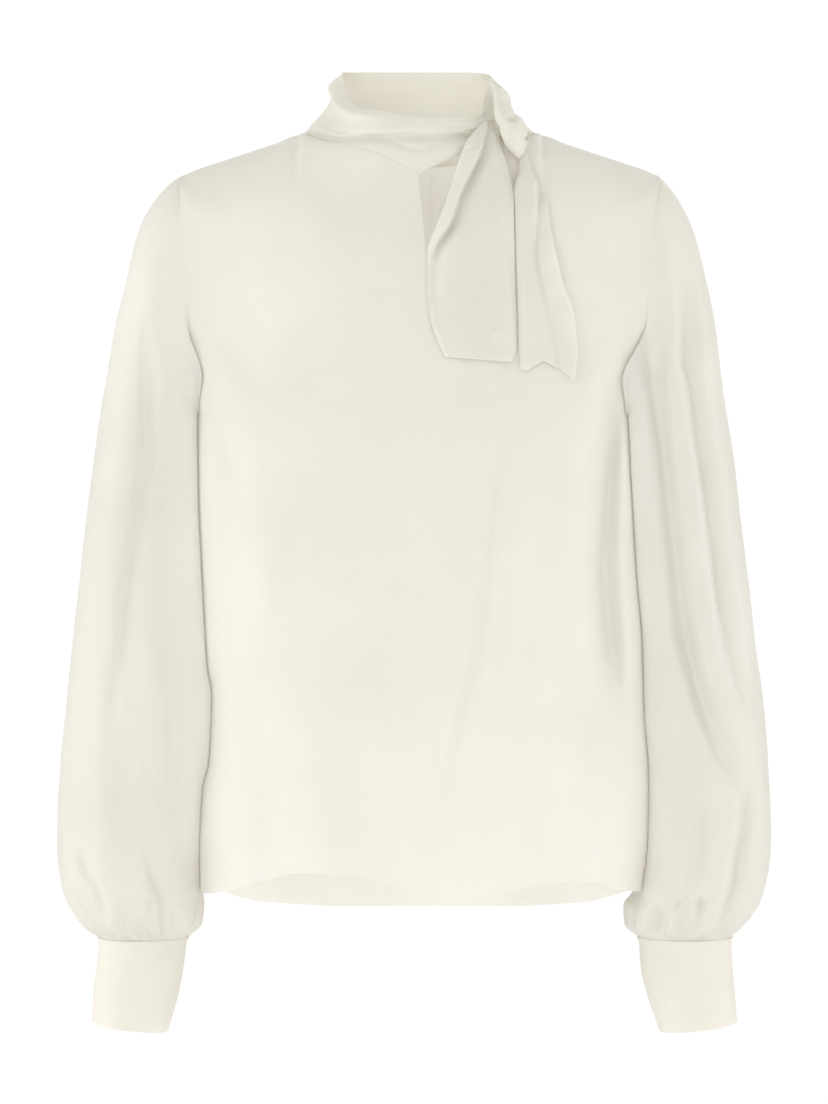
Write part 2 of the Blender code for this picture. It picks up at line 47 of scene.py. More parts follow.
# ---- the form, on the solids' own lines ----
CLOTH, DOUBLE_CLOTH = 0.45, 0.9  # what shows of the edge of one layer and of two
SEAM = 0.02  # what is left open between two sewn pieces
SHOULDER_HALF, SHOULDER_TIP_Z = 190.0, -21.0
UNDERARM_Z, SIDE_HEM_Z = -215.0, -592.0
ARMHOLE_MIDDLE_Z, ARMHOLE_HALF = (SHOULDER_TIP_Z + UNDERARM_Z) / 2, (SHOULDER_TIP_Z - UNDERARM_Z) / 2
ARMHOLE_FRONT, ARMHOLE_BACK, ARMHOLE_FLARE = 60.5, 63.5, 4.0
ARMHOLE_SOFTNESS, ARMHOLE_FADE = 0.012, 50.0  # how flatly the body meets the armhole, fading at both ends
NECK_HALF, NECK_FRONT, NECK_BACK = 96.0, 85.0, 68.0
CHEST_ROUNDNESS, WAIST_ROUNDNESS, SLEEVE_ROUNDNESS = 2.35, 3.1, 2.25
WAIST_FROM_Z, WAIST_REACH = -150.0, 90.0  # where the chest's roundness turns into the waist's
SHOULDER_ROLL_FRONT, SHOULDER_ROLL_BACK = 78.0, 90.0
SLIT_BOTTOM_Z = -90.0
HEM_HALF = 176.0
BACK_SEAM_X = 9.0
PANEL_SPLIT = 0.58  # the share of a panel's rows that lies below the underarm
FOLDS_FROM_Z, FOLDS_REACH, FOLDS_SIDE = -12.0, 60.0, 7.0  # how the body's folds fade out, up and sideways
FRONT_WAVES, BACK_WAVES, SLEEVE_WAVES = 0.55, 0.7, 0.7
ARM_X, ARM_Y = 222.0, -13.0  # the upright line through the middle of an arm
SLEEVE_CLEAR, HEM_REACH = 1.2, 14.0  # how near a sleeve may come to the body, and where that ends at the hem
LEAVING_ROWS, FOLDS_OVER_CUFF = 3, 12.0  # where a sleeve's folds start below its head and over its cuff
SLEEVE_SLIM, SLIM_FROM_Z, SLIM_REACH = 1.8, -440.0, 80.0  # how much closer the lower sleeves hang
CUFF_TOP_Z, CUFF_SLANT = -632.0, 0.12
CUFF_RAISE, RAISE_FROM_Z, RAISE_REACH = 4.8, -530.0, 75.0
CUFF_WAVES = ((0.5, 2, 3), (0.35, 5, -4))  # height, how many go round a cuff, and how they turn further down
CUFF_ROLLS = ((0.0, 3.0, 1.6), (70.0, 2.0, 0.4))  # how far down each edge's roll lies, its width and depth

COLLAR_HOLLOW, COLLAR_TOP_ROLL = 5.0, 6.0
COLLAR_CREASE_Z, COLLAR_CREASE_DEPTH, COLLAR_ROLL = 1.0, 2.0, 2.8
KNOT_PULLS_AT, KNOT_PULLS_REACH = 48, 26  # the angle of the collar's side that the knot pulls into creases
KNOT_PULLS = ((1.5, 15, -0.04), (0.7, 31, 0.05))  # depth, closeness and slope
COLLAR_PULLS = ((-78, 26, 7, 1.4), (128, -30, 8, 1.1))  # angle, turn up to the rim, width and depth

TIE_LEVEL_Z, TIE_LEAN, TIE_CLEAR = -8.0, 0.6, 1.5  # where the ends start to lean back, and how near the front
# the front end: the valley beside its strip, how its edges turn in, its face's ridge and pucker, and its bottom
STRIP_DEPTH, STRIP_STEEP, STRIP_GENTLE, STRIP_RISE = 7.0, 1.1, 5.5, 1.0
LEFT_TURN, LEFT_TURN_WIDTH, RIGHT_TURN = 2.4, 3.0, 1.4
LAID_TURN, LAID_WIDTH, LAID_FROM_Z, LAID_TO_Z, LAID_REACH = 3.0, 7.0, -70.0, -150.0, 30.0
FACE_WAVE, FACE_RIDGE, FACE_RIDGE_X, FACE_RIDGE_WIDTH, PUCKER, PUCKER_Z = 0.9, 0.8, 60.0, 5.0, 1.1, -154.0
SLANT, SLANT_FROM_Z, SLANT_REACH = 3.6, -140.0, 35.0
# the back end: its valley's two sides, its edges at its top and lower down, and its bottom
VALLEY_STEEP, VALLEY_STEEPER, VALLEY_GENTLE = 3.0, 1.2, 6.0
BACK_TOP_Z, BACK_TURN, BACK_STAND, BACK_RIGHT_TURN, BACK_RIGHT_WIDTH = -66.0, 1.8, 5.0, 1.6, 1.8
UNDER_KNOT_Z, UNDER_KNOT_REACH, UNDER_KNOT_PRESS = -56.0, 22.0, 0.8
POINTED_FROM_Z, POINTED_REACH, POINTED = -120.0, 58.0, 0.9

KNOT_ARCH, KNOT_FLATNESS, KNOT_STEP, KNOT_RIPPLE = 210.0, 0.64, 0.02, 0.05
KNOT_CREASES = ((0.12, 0.25, -0.7, 0.2), (0.10, -0.75, 0.5, 0.18))  # depth, place, drift along it and width
KNOT_PITS = ((71.5, 15, 2.6, 4.5), (75, 20, 2.8, 2.2), (84, 0.5, 2.4, 3.0))  # x, z, width and depth

FOLD_OVERRUN, FOLD_FADE, FOLD_STRAIGHT = 0.1, 0.32, 0.6  # how a fold ends, in shares of its length

# ---- how finely each piece is laid out: its columns and rows ----
HALF_FRONT_COLUMNS, PANEL_ROWS = 90, 220
BACK_GRID, SLEEVE_GRID, CUFF_GRID, COLLAR_GRID = (90, PANEL_ROWS), (200, 240), (144, 48), (260, 56)
TIE_FRONT_GRID, TIE_BACK_GRID, KNOT_GRID = (72, 150), (60, 150), (72, 60)


def table(columns, *rows):
    """Named columns of numbers, one row for each section."""
    return {name: np.array([row[i] for row in rows], float) for i, name in enumerate(columns.split())}


BODY = table(
    "z right left front back",
    (-640, 174, 178, 113, 106),
    (-590, 174, 179, 114, 105),
    (-550, 173.5, 182, 116, 104),
    (-509, 170.5, 183, 118, 103),
    (-480, 165.5, 182, 119, 103),
    (-435, 164.5, 178.5, 120, 103),
    (-400, 168.5, 176.5, 121, 103),
    (-350, 171, 174, 123, 104),
    (-300, 174, 172.5, 125, 105),
    (-250, 176, 172, 125, 107),
    (-215, 176.5, 171.5, 122, 108),
    (-180, 176.5, 172, 117, 107),
    (-140, 178, 176, 110, 104),
    (-100, 183, 178.5, 103, 97),
    (-60, 187.5, 183, 95, 84),
    (-21, 190, 190, 87, 68),
    (20, 190, 190, 84, 60),
)
FULLER_SIDES = table(  # how much fuller the sides hang where the sleeves lap over them
    "z right left",
    (-600, 0, 0),
    (-575, 1, 0.5),
    (-535, 6, 4),
    (-380, 6.5, 4),
    (-300, 6.5, 2),
    (-215, 6, 1),
    (-165, 3.5, 0),
    (-110, 0, 0),
)
FRONT_TOP = table(
    "x z",
    (0, -28.5),
    (16, -21),
    (30, -14),
    (44, -8.5),
    (56, -5),
    (69, -1.5),
    (85, 5),
    (96, 11),
    (115, 4.5),
    (150, -7),
    (178, -16),
    (190, -21),
)
BACK_TOP = table(
    "x z",
    (0, -6),
    (30, -4),
    (60, 1),
    (85, 7.5),
    (96, 11),
    (115, 4.5),
    (150, -7),
    (178, -16),
    (190, -21),
)
FRONT_HEM = table(
    "x z",
    (-176, -590),
    (-150, -584),
    (-121, -574),
    (-84, -567),
    (-46, -567),
    (-29, -572),
    (10, -582),
    (28, -584),
    (46, -583),
    (81, -577),
    (109, -574),
    (132, -576),
    (155, -584),
    (180, -588),
)
BACK_HEM = table(
    "x z",
    (-176, -590),
    (-165, -600),
    (-130, -612),
    (-60, -617),
    (60, -617),
    (130, -612),
    (165, -600),
    (180, -588),
)
SLIT = table("z right left", (-170, -8, 8), (-90, 3.4, 5.6), (-60, 1.6, 14), (-28, -1.7, 27), (20, -1.7, 27))
SLEEVE = table(
    "out_z in_z right_out right_in left_out left_in middle depth",
    (-21, -215, 190, 177, 190, 173, 2, 60),
    (-27, -221, 202, 179, 198, 174.5, 0, 62),
    (-42, -230, 215, 179.5, 209, 175, -1, 63),
    (-68, -242, 225, 179.5, 219.5, 175, -2, 63),
    (-104, -258, 233.6, 179.5, 228, 175, -3, 62),
    (-140, -276, 242, 179.5, 234.5, 175.5, -4, 61),
    (-176, -297, 248, 178, 239, 175.5, -5, 60),
    (-212, -320, 254.5, 175.5, 244, 176, -6, 60),
    (-250, -346, 259.5, 174.5, 250, 177, -7, 60),
    (-296, -377, 265.6, 173.5, 255, 178.5, -8, 60),
    (-344, -410, 271, 171.5, 261.5, 180.5, -9, 61),
    (-392, -442, 276, 168.5, 266.5, 182.5, -10, 62),
    (-440, -474, 281, 168.5, 273, 184.5, -11, 64),
    (-488, -506, 287, 172.5, 277.5, 186.5, -12, 66),
    (-530, -539, 289.5, 176.5, 280, 186, -13, 67),
    (-562, -566, 289.5, 177.5, 279, 185, -14, 66),
    (-588, -589, 287, 177, 276, 178, -14, 63),
    (-608, -608, 279.5, 172, 269, 162, -14, 57),
    (-622, -622, 269.5, 173.5, 258.5, 163, -14, 47),
    (-630, -630, 258.8, 181, 250, 169.8, -14, 38),
    (-631.8, -631.8, 256.6, 183.4, 248.6, 172.4, -14, 35.6),
)
CUFF = table(
    "down right_out right_in left_out left_in depth",
    (0, 255, 185, 247, 174, 34),
    (22, 256.5, 188.5, 248, 176, 33),
    (45, 259.5, 193, 250, 181.5, 31.5),
    (71, 260.5, 200, 252, 190, 29.5),
)
COLLAR_RIM = table(
    "angle x y z",
    (-180, 0, 58, 71),
    (-150, -32, 51, 70),
    (-120, -55, 32, 67),
    (-100, -61, 12, 64),
    (-86, -60.5, -6, 58),
    (-73, -57.5, -22, 46),
    (-63, -54, -35, 34),
    (-50, -47, -48, 27),
    (-30, -31, -62, 23),
    (0, 0, -70, 17),
    (30, 30, -66, 17),
    (50, 45.5, -55, 20),
    (63, 48.5, -40, 31),
    (76, 51.5, -25, 43),
    (90, 55, -6, 54),
    (105, 56.5, 15, 61),
    (120, 53, 32, 66),
    (150, 31, 51, 70),
    (180, 0, 58, 71),
)
TIE_FRONT = table(
    "z right left lift",
    (13, 50, 58, 7),
    (4, 41.5, 60.5, 8.5),
    (-6, 35, 62, 9),
    (-19, 30, 66, 9.5),
    (-31, 26.5, 69, 10.5),
    (-50, 20.5, 72, 10.5),
    (-70, 13, 72, 9),
    (-92, 5.5, 72.5, 6.5),
    (-118, 5, 72.5, 4.6),
    (-142, 7.5, 73.5, 4),
    (-164, 14, 73.5, 4),
    (-175, 19, 70, 4),
)
TIE_BACK = table(
    "z right left lift",
    (-5, 79, 84.5, 3.5),
    (-12, 76.5, 86.5, 5),
    (-20, 77, 88, 8.5),
    (-27, 77, 91, 10.5),
    (-34, 74.5, 94, 11),
    (-42, 72.8, 97.5, 10.5),
    (-61, 73, 99, 8),
    (-91, 73.5, 104, 5),
    (-118, 74.5, 110.5, 4.2),
    (-136, 75, 118, 4),
    (-165, 75.5, 120.5, 4),
    (-181, 76, 118, 4),
)
TIE_STRIP = table(  # the strip that is folded back along the front end's right
    "z width shown",
    (13, 4, 0.2),
    (4, 12, 0.5),
    (-14, 16, 0.9),
    (-31, 13.5, 1.0),
    (-48, 10.5, 1.0),
    (-67, 11.5, 1.0),
    (-87, 7.5, 0.8),
    (-104, 5, 0.2),
    (-175, 5, 0.0),
)
TIE_VALLEY = table(  # the valley between the back end's two rolls
    "z x depth",
    (-12, 84, 4.0),
    (-24, 87, 9.5),
    (-40, 92, 9.5),
    (-61, 92, 6.0),
    (-91, 91, 3.4),
    (-118, 95, 3.0),
    (-150, 102, 2.6),
    (-181, 106, 2.6),
)
TIE_BACK_CORNERS = table("across down", (0, -1), (0.12, -3), (0.42, 6.5), (0.72, 0), (1, -10))
KNOT = table(
    "along x y z half",
    (0.0, 54.5, -34, 49, 1.5),
    (0.06, 57, -38, 45, 5.0),
    (0.14, 60.5, -43.5, 40.5, 8.0),
    (0.26, 63.6, -51, 33, 10.4),
    (0.38, 64.4, -57.5, 25, 10.6),
    (0.5, 66.8, -63.5, 17.5, 13.0),
    (0.62, 70.8, -68.5, 10, 14.4),
    (0.74, 73, -72.5, 2, 14.0),
    (0.84, 74.2, -74.5, -4.5, 11.6),
    (0.92, 75.8, -75.5, -10, 7.6),
    (0.97, 76.6, -75.5, -14, 4.2),
    (1.0, 77, -74, -17, 0.8),
)

# ---- folds, each along a line of points, with its width, its depth and how much steeper one side is ----
FRONT_FOLDS = (
    # the long soft crease below the tie
    ([(66, -215), (57, -283), (52, -330), (45, -397), (37, -425), (25, -487), (23, -540)], 10, -3.4, 0.5),
    ([(76, -230), (68, -300), (62, -380), (50, -470)], 16, 3.0, 0.0),
    # the shadowed hollow beside the left sleeve
    ([(152, -196), (145, -262), (142, -330), (150, -440)], 14, -21.0, -0.3),
    ([(112, -300), (120, -400), (128, -560)], 24, -4.0, 0.3),
    # the waves that run into the hem
    ([(-128, -420), (-118, -520), (-112, -588)], 20, -3.5, 0.3),
    ([(-84, -450), (-74, -530), (-70, -592)], 18, 3.5, 0.0),
    ([(-30, -470), (-33, -590)], 16, 2.4, 0.3),
    ([(6, -440), (12, -520), (14, -592)], 15, -3.5, 0.3),
    ([(62, -500), (66, -592)], 18, 3.5, 0.0),
    ([(-150, -230), (-146, -310), (-140, -400)], 15, -3.0, 0.3),
    ([(-20, -250), (-34, -400), (-30, -520)], 26, -1.2, 0.0),
    ([(-60, -60), (-90, -130), (-120, -210)], 22, 2.0, 0.0),
    # pulls from the knot and from the armholes
    ([(104, -30), (122, -90), (132, -170)], 15, -1.8, 0.4),
    ([(-176, -170), (-150, -230), (-132, -300)], 12, -2.2, 0.4),
    ([(-172, -130), (-150, -165), (-124, -196)], 10, -1.4, 0.4),
    ([(166, -140), (150, -190), (140, -236)], 10, -1.8, 0.4),
)
BACK_FOLDS = (
    ([(-140, -200), (-132, -290), (-120, -380)], 18, -5.0, 0.3),
    ([(138, -190), (130, -300), (122, -400)], 18, -6.0, -0.3),
    ([(-60, -330), (-66, -470), (-76, -612)], 16, -4.5, 0.3),
    ([(-18, -420), (-26, -616)], 17, 4.0, 0.0),
    ([(44, -380), (46, -500), (52, -616)], 17, -4.5, -0.3),
    ([(96, -430), (104, -612)], 18, 4.0, 0.0),
    ([(-112, -450), (-118, -608)], 17, 4.0, 0.0),
    ([(70, -60), (90, -130), (110, -200)], 20, 2.5, 0.0),
    ([(-74, -70), (-98, -140), (-128, -190)], 18, -1.8, 0.3),
    ([(172, -150), (148, -200), (120, -230)], 11, -1.8, 0.3),
    ([(-170, -150), (-146, -206), (-116, -244)], 11, -1.6, 0.3),
    ([(-10, -230), (-16, -330)], 18, 1.6, 0.0),
)
LEFT_SLEEVE_FRONT_FOLDS = (
    # two deep hanging folds, each with a soft ridge beside it
    (
        [(181, -74), (178, -120), (178, -176), (182, -221), (190, -275)]
        + [(196, -325), (203, -387), (216, -437), (233, -482), (248, -507)],
        *(11, -11.0, 0.5),
    ),
    ([(192, -150), (199, -290), (208, -372), (226, -430)], 9, 3.0, 0.0),
    (
        [(208, -50), (209, -175), (213, -189), (220, -238), (228, -292)]
        + [(235, -350), (243, -400), (253, -427), (262, -447)],
        *(12, -12.0, 0.5),
    ),
    ([(221, -110), (227, -220), (242, -330), (252, -395)], 9, 3.0, 0.0),
    ([(257, -500), (255, -534), (250, -562), (248, -583), (241, -608), (236, -622)], 8, -7.5, -0.4),
    ([(226, -470), (232, -540), (228, -600)], 16, 2.6, 0.0),
    ([(196, -360), (204, -470), (200, -600)], 15, -3.0, 0.3),
    ([(214, -520), (210, -576), (206, -622)], 8, -3.2, 0.4),
    ([(196, -30), (203, -56), (206, -84)], 6, -1.8, 0.4),
    # pleats above the cuff
    ([(183, -602), (181, -616), (178, -628)], 4.5, -5.5, 0.3),
    ([(200, -596), (201, -620)], 3.2, -3.0, 0.3),
    ([(218, -594), (218, -624)], 3.2, -3.2, 0.3),
)
LEFT_SLEEVE_BACK_FOLDS = (
    ([(190, -140), (200, -260), (206, -400), (212, -540)], 13, -4.5, 0.4),
    ([(214, -110), (226, -260), (236, -400), (244, -560)], 13, 3.5, 0.0),
    ([(236, -160), (246, -300), (258, -420), (262, -540)], 12, -4.0, 0.4),
    ([(224, -400), (228, -520), (226, -610)], 12, -3.0, 0.3),
    ([(200, -480), (204, -560), (206, -618)], 10, 3.0, 0.0),
    ([(200, -60), (196, -110), (190, -160)], 10, -1.8, 0.3),
)
RIGHT_SLEEVE_FRONT_FOLDS = (
    # the long crease down its middle
    (
        [(-213, -150), (-214, -203), (-215, -250), (-218, -270), (-221, -288)]
        + [(-228, -337), (-231, -358), (-234, -400), (-242, -452)],
        *(9, -5.0, 0.5),
    ),
    ([(-206, -380), (-208, -460), (-203, -560)], 15, 3.4, 0.0),
    ([(-226, -120), (-236, -240), (-246, -350)], 13, 2.2, 0.0),
    ([(-190, -170), (-197, -290), (-194, -420), (-188, -520)], 12, -3.0, 0.3),
    # pleats above the cuff
    ([(-266, -556), (-262, -574), (-253, -588), (-246, -612)], 6, -4.0, 0.4),
    ([(-214, -545), (-205, -582), (-197, -602), (-195, -622)], 7, -3.4, 0.4),
    ([(-209, -594), (-210, -622)], 4, -3.0, 0.3),
    ([(-190, -606), (-189, -627)], 3.2, -3.0, 0.3),
    ([(-230, -600), (-231, -624)], 3.4, -2.2, 0.3),
    # its outer side
    ([(-244, -440), (-250, -520), (-246, -590)], 15, 2.6, 0.0),
    ([(-262, -420), (-270, -500), (-262, -570)], 14, -2.2, 0.3),
    # its head
    ([(-204, -60), (-200, -100), (-198, -150)], 9, -1.2, 0.3),
)
RIGHT_SLEEVE_BACK_FOLDS = (
    ([(-190, -150), (-202, -280), (-206, -420), (-214, -560)], 13, -4.5, -0.4),
    ([(-216, -120), (-230, -260), (-240, -420), (-246, -580)], 13, 3.8, 0.0),
    ([(-240, -150), (-252, -300), (-262, -430), (-266, -540)], 12, -4.2, -0.4),
    ([(-226, -410), (-232, -520), (-230, -612)], 12, -3.0, 0.3),
    ([(-202, -470), (-206, -560), (-208, -618)], 10, 3.0, 0.0),
    ([(-202, -60), (-197, -110), (-190, -160)], 10, -1.8, 0.3),
)
# ---- the sleeves' fullness that laps over the body's sides: where its edge is, and how far off the body ----
LEFT_FRONT_LAP = table(
    "z x off",
    (-600, 172, 6.5),
    (-565, 176, 6.0),
    (-540, 177, 4.5),
    (-492, 177.5, 2.4),
    (-450, 174.5, 1.4),
    (-390, 172.5, 1.0),
    (-340, 168, 1.0),
    (-300, 165.5, 1.0),
    (-250, 162.5, 1.0),
    (-207, 160.5, 1.0),
    (-170, 161.5, 1.0),
)
RIGHT_FRONT_LAP = table(
    "z x off",
    (-590, -173, 1.0),
    (-546, -171, 1.0),
    (-503, -168, 1.0),
    (-486, -164, 1.0),
    (-432, -162, 1.0),
    (-412, -165.5, 1.0),
    (-362, -168.5, 1.0),
    (-317, -170.5, 1.0),
    (-283, -172, 1.0),
    (-210, -173, 1.0),
    (-165, -174.5, 1.0),
)
LEFT_BACK_LAP = table("z x off", (-600, 176, 5), (-480, 172, 3), (-360, 167, 3), (-210, 165, 3))
RIGHT_BACK_LAP = table("z x off", (-600, -172, 5), (-450, -163, 3), (-360, -165, 3), (-210, -168, 3))
SLEEVE_LAPS = {  # the panel it lies on, its table, its angle at the top and further down, and its width
    "left": (("front", LEFT_FRONT_LAP, 128, 141, 24), ("back", LEFT_BACK_LAP, 232, 220, 26)),
    "right": (("front", RIGHT_FRONT_LAP, 126, 141, 24), ("back", RIGHT_BACK_LAP, 232, 220, 26)),
}
LAP_TURN_ROWS, LAP_WIDEN_ROWS, LAP_TOP_WIDTH = 6, 5, 0.75
LAP_START_ROW, LAP_START_ROWS = 0.35, 1.2
LAP_END_Z, LAP_END_REACH = -622.0, 40.0

# ---- gathers: how many, how deep, how far they reach, and how soon they are at their deepest ----
CUFF_GATHERS = (10, 2.6, 70.0, 7.0)
FINE_GATHERS = (31, 0.9, 26.0, 2.5)
HEAD_GATHERS = (10, 1.6, 55.0, 9.0)
SOFT_WAVES = (  # how close the waves of hanging silk lie, their turn, their phase and their share
    (0.071, 0.35, 0.4, 1.0),
    (0.113, -0.50, 1.9, 0.7),
    (0.052, 1.30, 3.1, 0.8),
    (0.168, 0.15, 5.0, 0.35),
    (0.031, -0.20, 2.2, 1.1),
)


# ---- curves ----
def slopes(xs, ys):
    """The slope at each row, level where the column turns, so that the curve never overshoots."""
    steps = np.diff(ys) / np.diff(xs)
    left, right = steps[:-1], steps[1:]
    same = left * right > 0
    inner = np.where(same, 2 * left * right / np.where(same, left + right, 1.0), 0.0)
    return np.concatenate([steps[:1], inner, steps[-1:]])


def read(rows, key, name, at):
    """The column `name` where the column `key` is `at`, on a smooth curve."""
    xs, ys = rows[key], rows[name]
    if xs[0] > xs[-1]:
        xs, ys = xs[::-1], ys[::-1]
    at = np.clip(np.asarray(at, float), xs[0], xs[-1])
    i = np.clip(np.searchsorted(xs, at, side="right") - 1, 0, len(xs) - 2)
    step = xs[i + 1] - xs[i]
    t = (at - xs[i]) / step
    slope = slopes(xs, ys)
    return (
        (1 + 2 * t) * (1 - t) ** 2 * ys[i]
        + t * (1 - t) ** 2 * step * slope[i]
        + t * t * (3 - 2 * t) * ys[i + 1]
        + t * t * (t - 1) * step * slope[i + 1]
    )


def ease(value):
    value = np.clip(value, 0.0, 1.0)
    return value * value * (3 - 2 * value)


def bump(value):
    return np.exp(-(value**2))


def blend(a, b, share):
    return a + (b - a) * share


def fuller(value, roundness):
    return np.copysign(np.abs(value) ** (2 / roundness), value)


def along_line(points, x, z):
    """How far each place lies along a line of points, from 0 to 1, and how far aside of it, left or right."""
    points = np.array(points, float)
    runs = np.diff(points, axis=0)
    lengths = np.hypot(runs[:, 0], runs[:, 1])
    starts = np.concatenate([[0.0], np.cumsum(lengths)])
    nearest = np.full(np.shape(x), 1e9)
    along, aside = np.zeros(np.shape(x)), np.zeros(np.shape(x))
    for i, (start, run, length) in enumerate(zip(points[:-1], runs, lengths)):
        dx, dz = x - start[0], z - start[1]
        share = (dx * run[0] + dz * run[1]) / length**2
        low = -FOLD_STRAIGHT if i == 0 else 0.0
        high = 1 + FOLD_STRAIGHT if i == len(lengths) - 1 else 1.0
        held = np.clip(share, low, high)
        off_x, off_z = dx - held * run[0], dz - held * run[1]
        distance = np.hypot(off_x, off_z)
        closer = distance < nearest
        nearest = np.where(closer, distance, nearest)
        side = np.sign(dx * run[1] - dz * run[0])
        aside = np.where(closer, distance * side, aside)
        along = np.where(closer, (starts[i] + held * length) / starts[-1], along)
    return along, aside


def folds_lift(folds, x, z):
    """How far a list of folds lifts the cloth at each place. Each one fades out at both of its ends."""
    lift = np.zeros(np.shape(x))
    for points, width, depth, steep in folds:
        along, aside = along_line(points, x, z)
        narrow = np.where(aside * steep > 0, width * (1 - abs(steep)), width)
        starts, ends = ease((along + FOLD_OVERRUN) / FOLD_FADE), ease((1 + FOLD_OVERRUN - along) / FOLD_FADE)
        lift += depth * starts * ends * bump(aside / narrow)
    return lift


def soft_waves(x, z, size):
    """The slight unevenness of hanging silk."""
    waves = np.zeros(np.shape(x))
    for closeness, turn, phase, share in SOFT_WAVES:
        waves += share * np.sin(closeness * (x * math.cos(turn) + 0.45 * z * math.sin(turn)) * 2 + phase)
    return size * waves / 3


# ---- the body ----
def side_at(x, z):
    """How far out the body's side is, on the same hand as x."""
    left, right = (read(BODY, "z", side, z) + read(FULLER_SIDES, "z", side, z) for side in ("left", "right"))
    return np.where(np.asarray(x) > 0, left, right)


def section_at(share, z, depth):
    """The depth of the body's rounded section, a share of the way from its middle to its side or edge."""
    roundness = blend(CHEST_ROUNDNESS, WAIST_ROUNDNESS, ease((WAIST_FROM_Z - z) / WAIST_REACH))
    return depth * (1 - share**roundness) ** (1 / roundness)


def armhole_reach(z, deepest):
    """How far the armhole's edge lies in front of its middle, or behind it."""
    return deepest * np.sqrt(np.maximum(0.0, 1 - ((z - ARMHOLE_MIDDLE_Z) / ARMHOLE_HALF) ** 2))


def body_depth(x, z, part):
    """How far the smooth front or back lies from the plane between them."""
    front = part == "front"
    share = np.minimum(1.0, np.abs(x) / side_at(x, z))
    in_armhole = ease((z - UNDERARM_Z) / ARMHOLE_FADE) * ease((SHOULDER_TIP_Z - z) / ARMHOLE_FADE)
    softened = 1 - ARMHOLE_SOFTNESS * in_armhole
    section = section_at(share * softened, z, read(BODY, "z", part, z))
    reach = armhole_reach(z, ARMHOLE_FRONT if front else ARMHOLE_BACK) * share**ARMHOLE_FLARE
    row = np.hypot(section, reach)
    top_z = read(FRONT_TOP if front else BACK_TOP, "x", "z", np.abs(x))
    top = (NECK_FRONT if front else NECK_BACK) * np.sqrt(np.maximum(0.0, 1 - (x / NECK_HALF) ** 2))
    roll = (SHOULDER_ROLL_FRONT if front else SHOULDER_ROLL_BACK) * np.sqrt(np.maximum(1e-6, 1 - share**4))
    turned = np.clip((top_z - z) / roll, 0.0, 1.0)
    return blend(top, row, np.sqrt(1 - (1 - turned) ** 2))


def body_point(x, z, part):
    """A point of the front or back with its folds, which die away at the side seams."""
    from_side = 1 - np.minimum(1.0, np.abs(x) / side_at(x, z))
    shown = ease(FOLDS_SIDE * from_side) * ease((FOLDS_FROM_Z - z) / FOLDS_REACH)
    lift = folds_lift(FRONT_FOLDS if part == "front" else BACK_FOLDS, x, z)
    lift = lift + soft_waves(x, z, FRONT_WAVES if part == "front" else BACK_WAVES)
    depth = body_depth(x, z, part) + shown * lift + SEAM / 2
    return np.stack([x, -depth if part == "front" else depth, z], axis=-1)


def inner_edge(part, side, z):
    """Where a panel ends towards the middle: at the slit in front, or at the centre-back seam."""
    if part == "back":
        return np.full(np.shape(z), BACK_SEAM_X + side * SEAM / 2)
    return read(SLIT, "z", "left" if side > 0 else "right", z)


def body_place(part, side, share, up_share):
    """Where a share of the way to the side and a share of the height of a panel cross."""
    sine = np.sin(share * math.pi / 2)
    hem_z = read(FRONT_HEM if part == "front" else BACK_HEM, "x", "z", side * sine * HEM_HALF)
    low_z = blend(hem_z, UNDERARM_Z, up_share / PANEL_SPLIT)
    up = 0.5 - 0.5 * np.cos(np.pi * np.clip((up_share - PANEL_SPLIT) / (1 - PANEL_SPLIT), 0, 1))
    high_side = blend(UNDERARM_Z, SHOULDER_TIP_Z, up)
    top_inner = float(inner_edge(part, side, np.array(0.0)))
    top_x = np.interp(share, (0, 0.5, 1), (top_inner, side * NECK_HALF, side * SHOULDER_HALF))
    top_z = read(FRONT_TOP if part == "front" else BACK_TOP, "x", "z", np.abs(top_x))
    high_z = high_side + up * (top_z - SHOULDER_TIP_Z)
    high_across = blend(sine, (top_x - top_inner) / (side * SHOULDER_HALF - top_inner), up)
    low = up_share <= PANEL_SPLIT
    z = np.where(low, low_z, high_z)
    side_z = np.where(low, low_z, high_side)
    across = np.where(low, sine, high_across)
    inner = inner_edge(part, side, z)
    return body_point(blend(inner, side * side_at(np.full(np.shape(z), side), side_z), across), z, part)


# ---- the sleeves and cuffs ----
def armhole_point(side, angle):
    """The point of the armhole's seam that a sleeve's edge is sewn to."""
    z = ARMHOLE_MIDDLE_Z + ARMHOLE_HALF * np.cos(angle)
    edge = side * side_at(np.full(np.shape(z), side), z)
    deep = np.where(np.sin(angle) > 0, body_depth(edge, z, "front"), body_depth(edge, z, "back"))
    return np.stack([edge + side * SEAM, np.copysign(deep, -np.sin(angle)), z + SEAM / 2], axis=-1)


def raised(z):
    """The height that the cuffs, and the fullness above them, are drawn up to."""
    return z + CUFF_RAISE * ease((RAISE_FROM_Z - z) / RAISE_REACH)


def clear_of_body(side, point):
    """The same points, moved off the body where they would come nearer to it than a sleeve can hang."""
    x, y, z = np.moveaxis(point, -1, 0)
    depth = np.where(y < 0, read(BODY, "z", "front", z), read(BODY, "z", "back", z))
    share = np.minimum(1.0, np.abs(y) / depth)
    body_side = side_at(np.full(np.shape(z), side), z)
    body = section_at(share, z, body_side)
    held = side * np.maximum(side * x, body + SLEEVE_CLEAR)
    beside = ease((z - SIDE_HEM_Z) / HEM_REACH) * (z < UNDERARM_Z)
    over_panel = (z >= UNDERARM_Z) & (side * x < body_side)
    panel = np.where(y < 0, body_depth(x, z, "front"), body_depth(x, z, "back")) + SLEEVE_CLEAR
    held_y = np.where(over_panel, np.copysign(np.maximum(np.abs(y), panel), y), y)
    return np.stack([blend(x, held, beside), held_y, z], axis=-1)


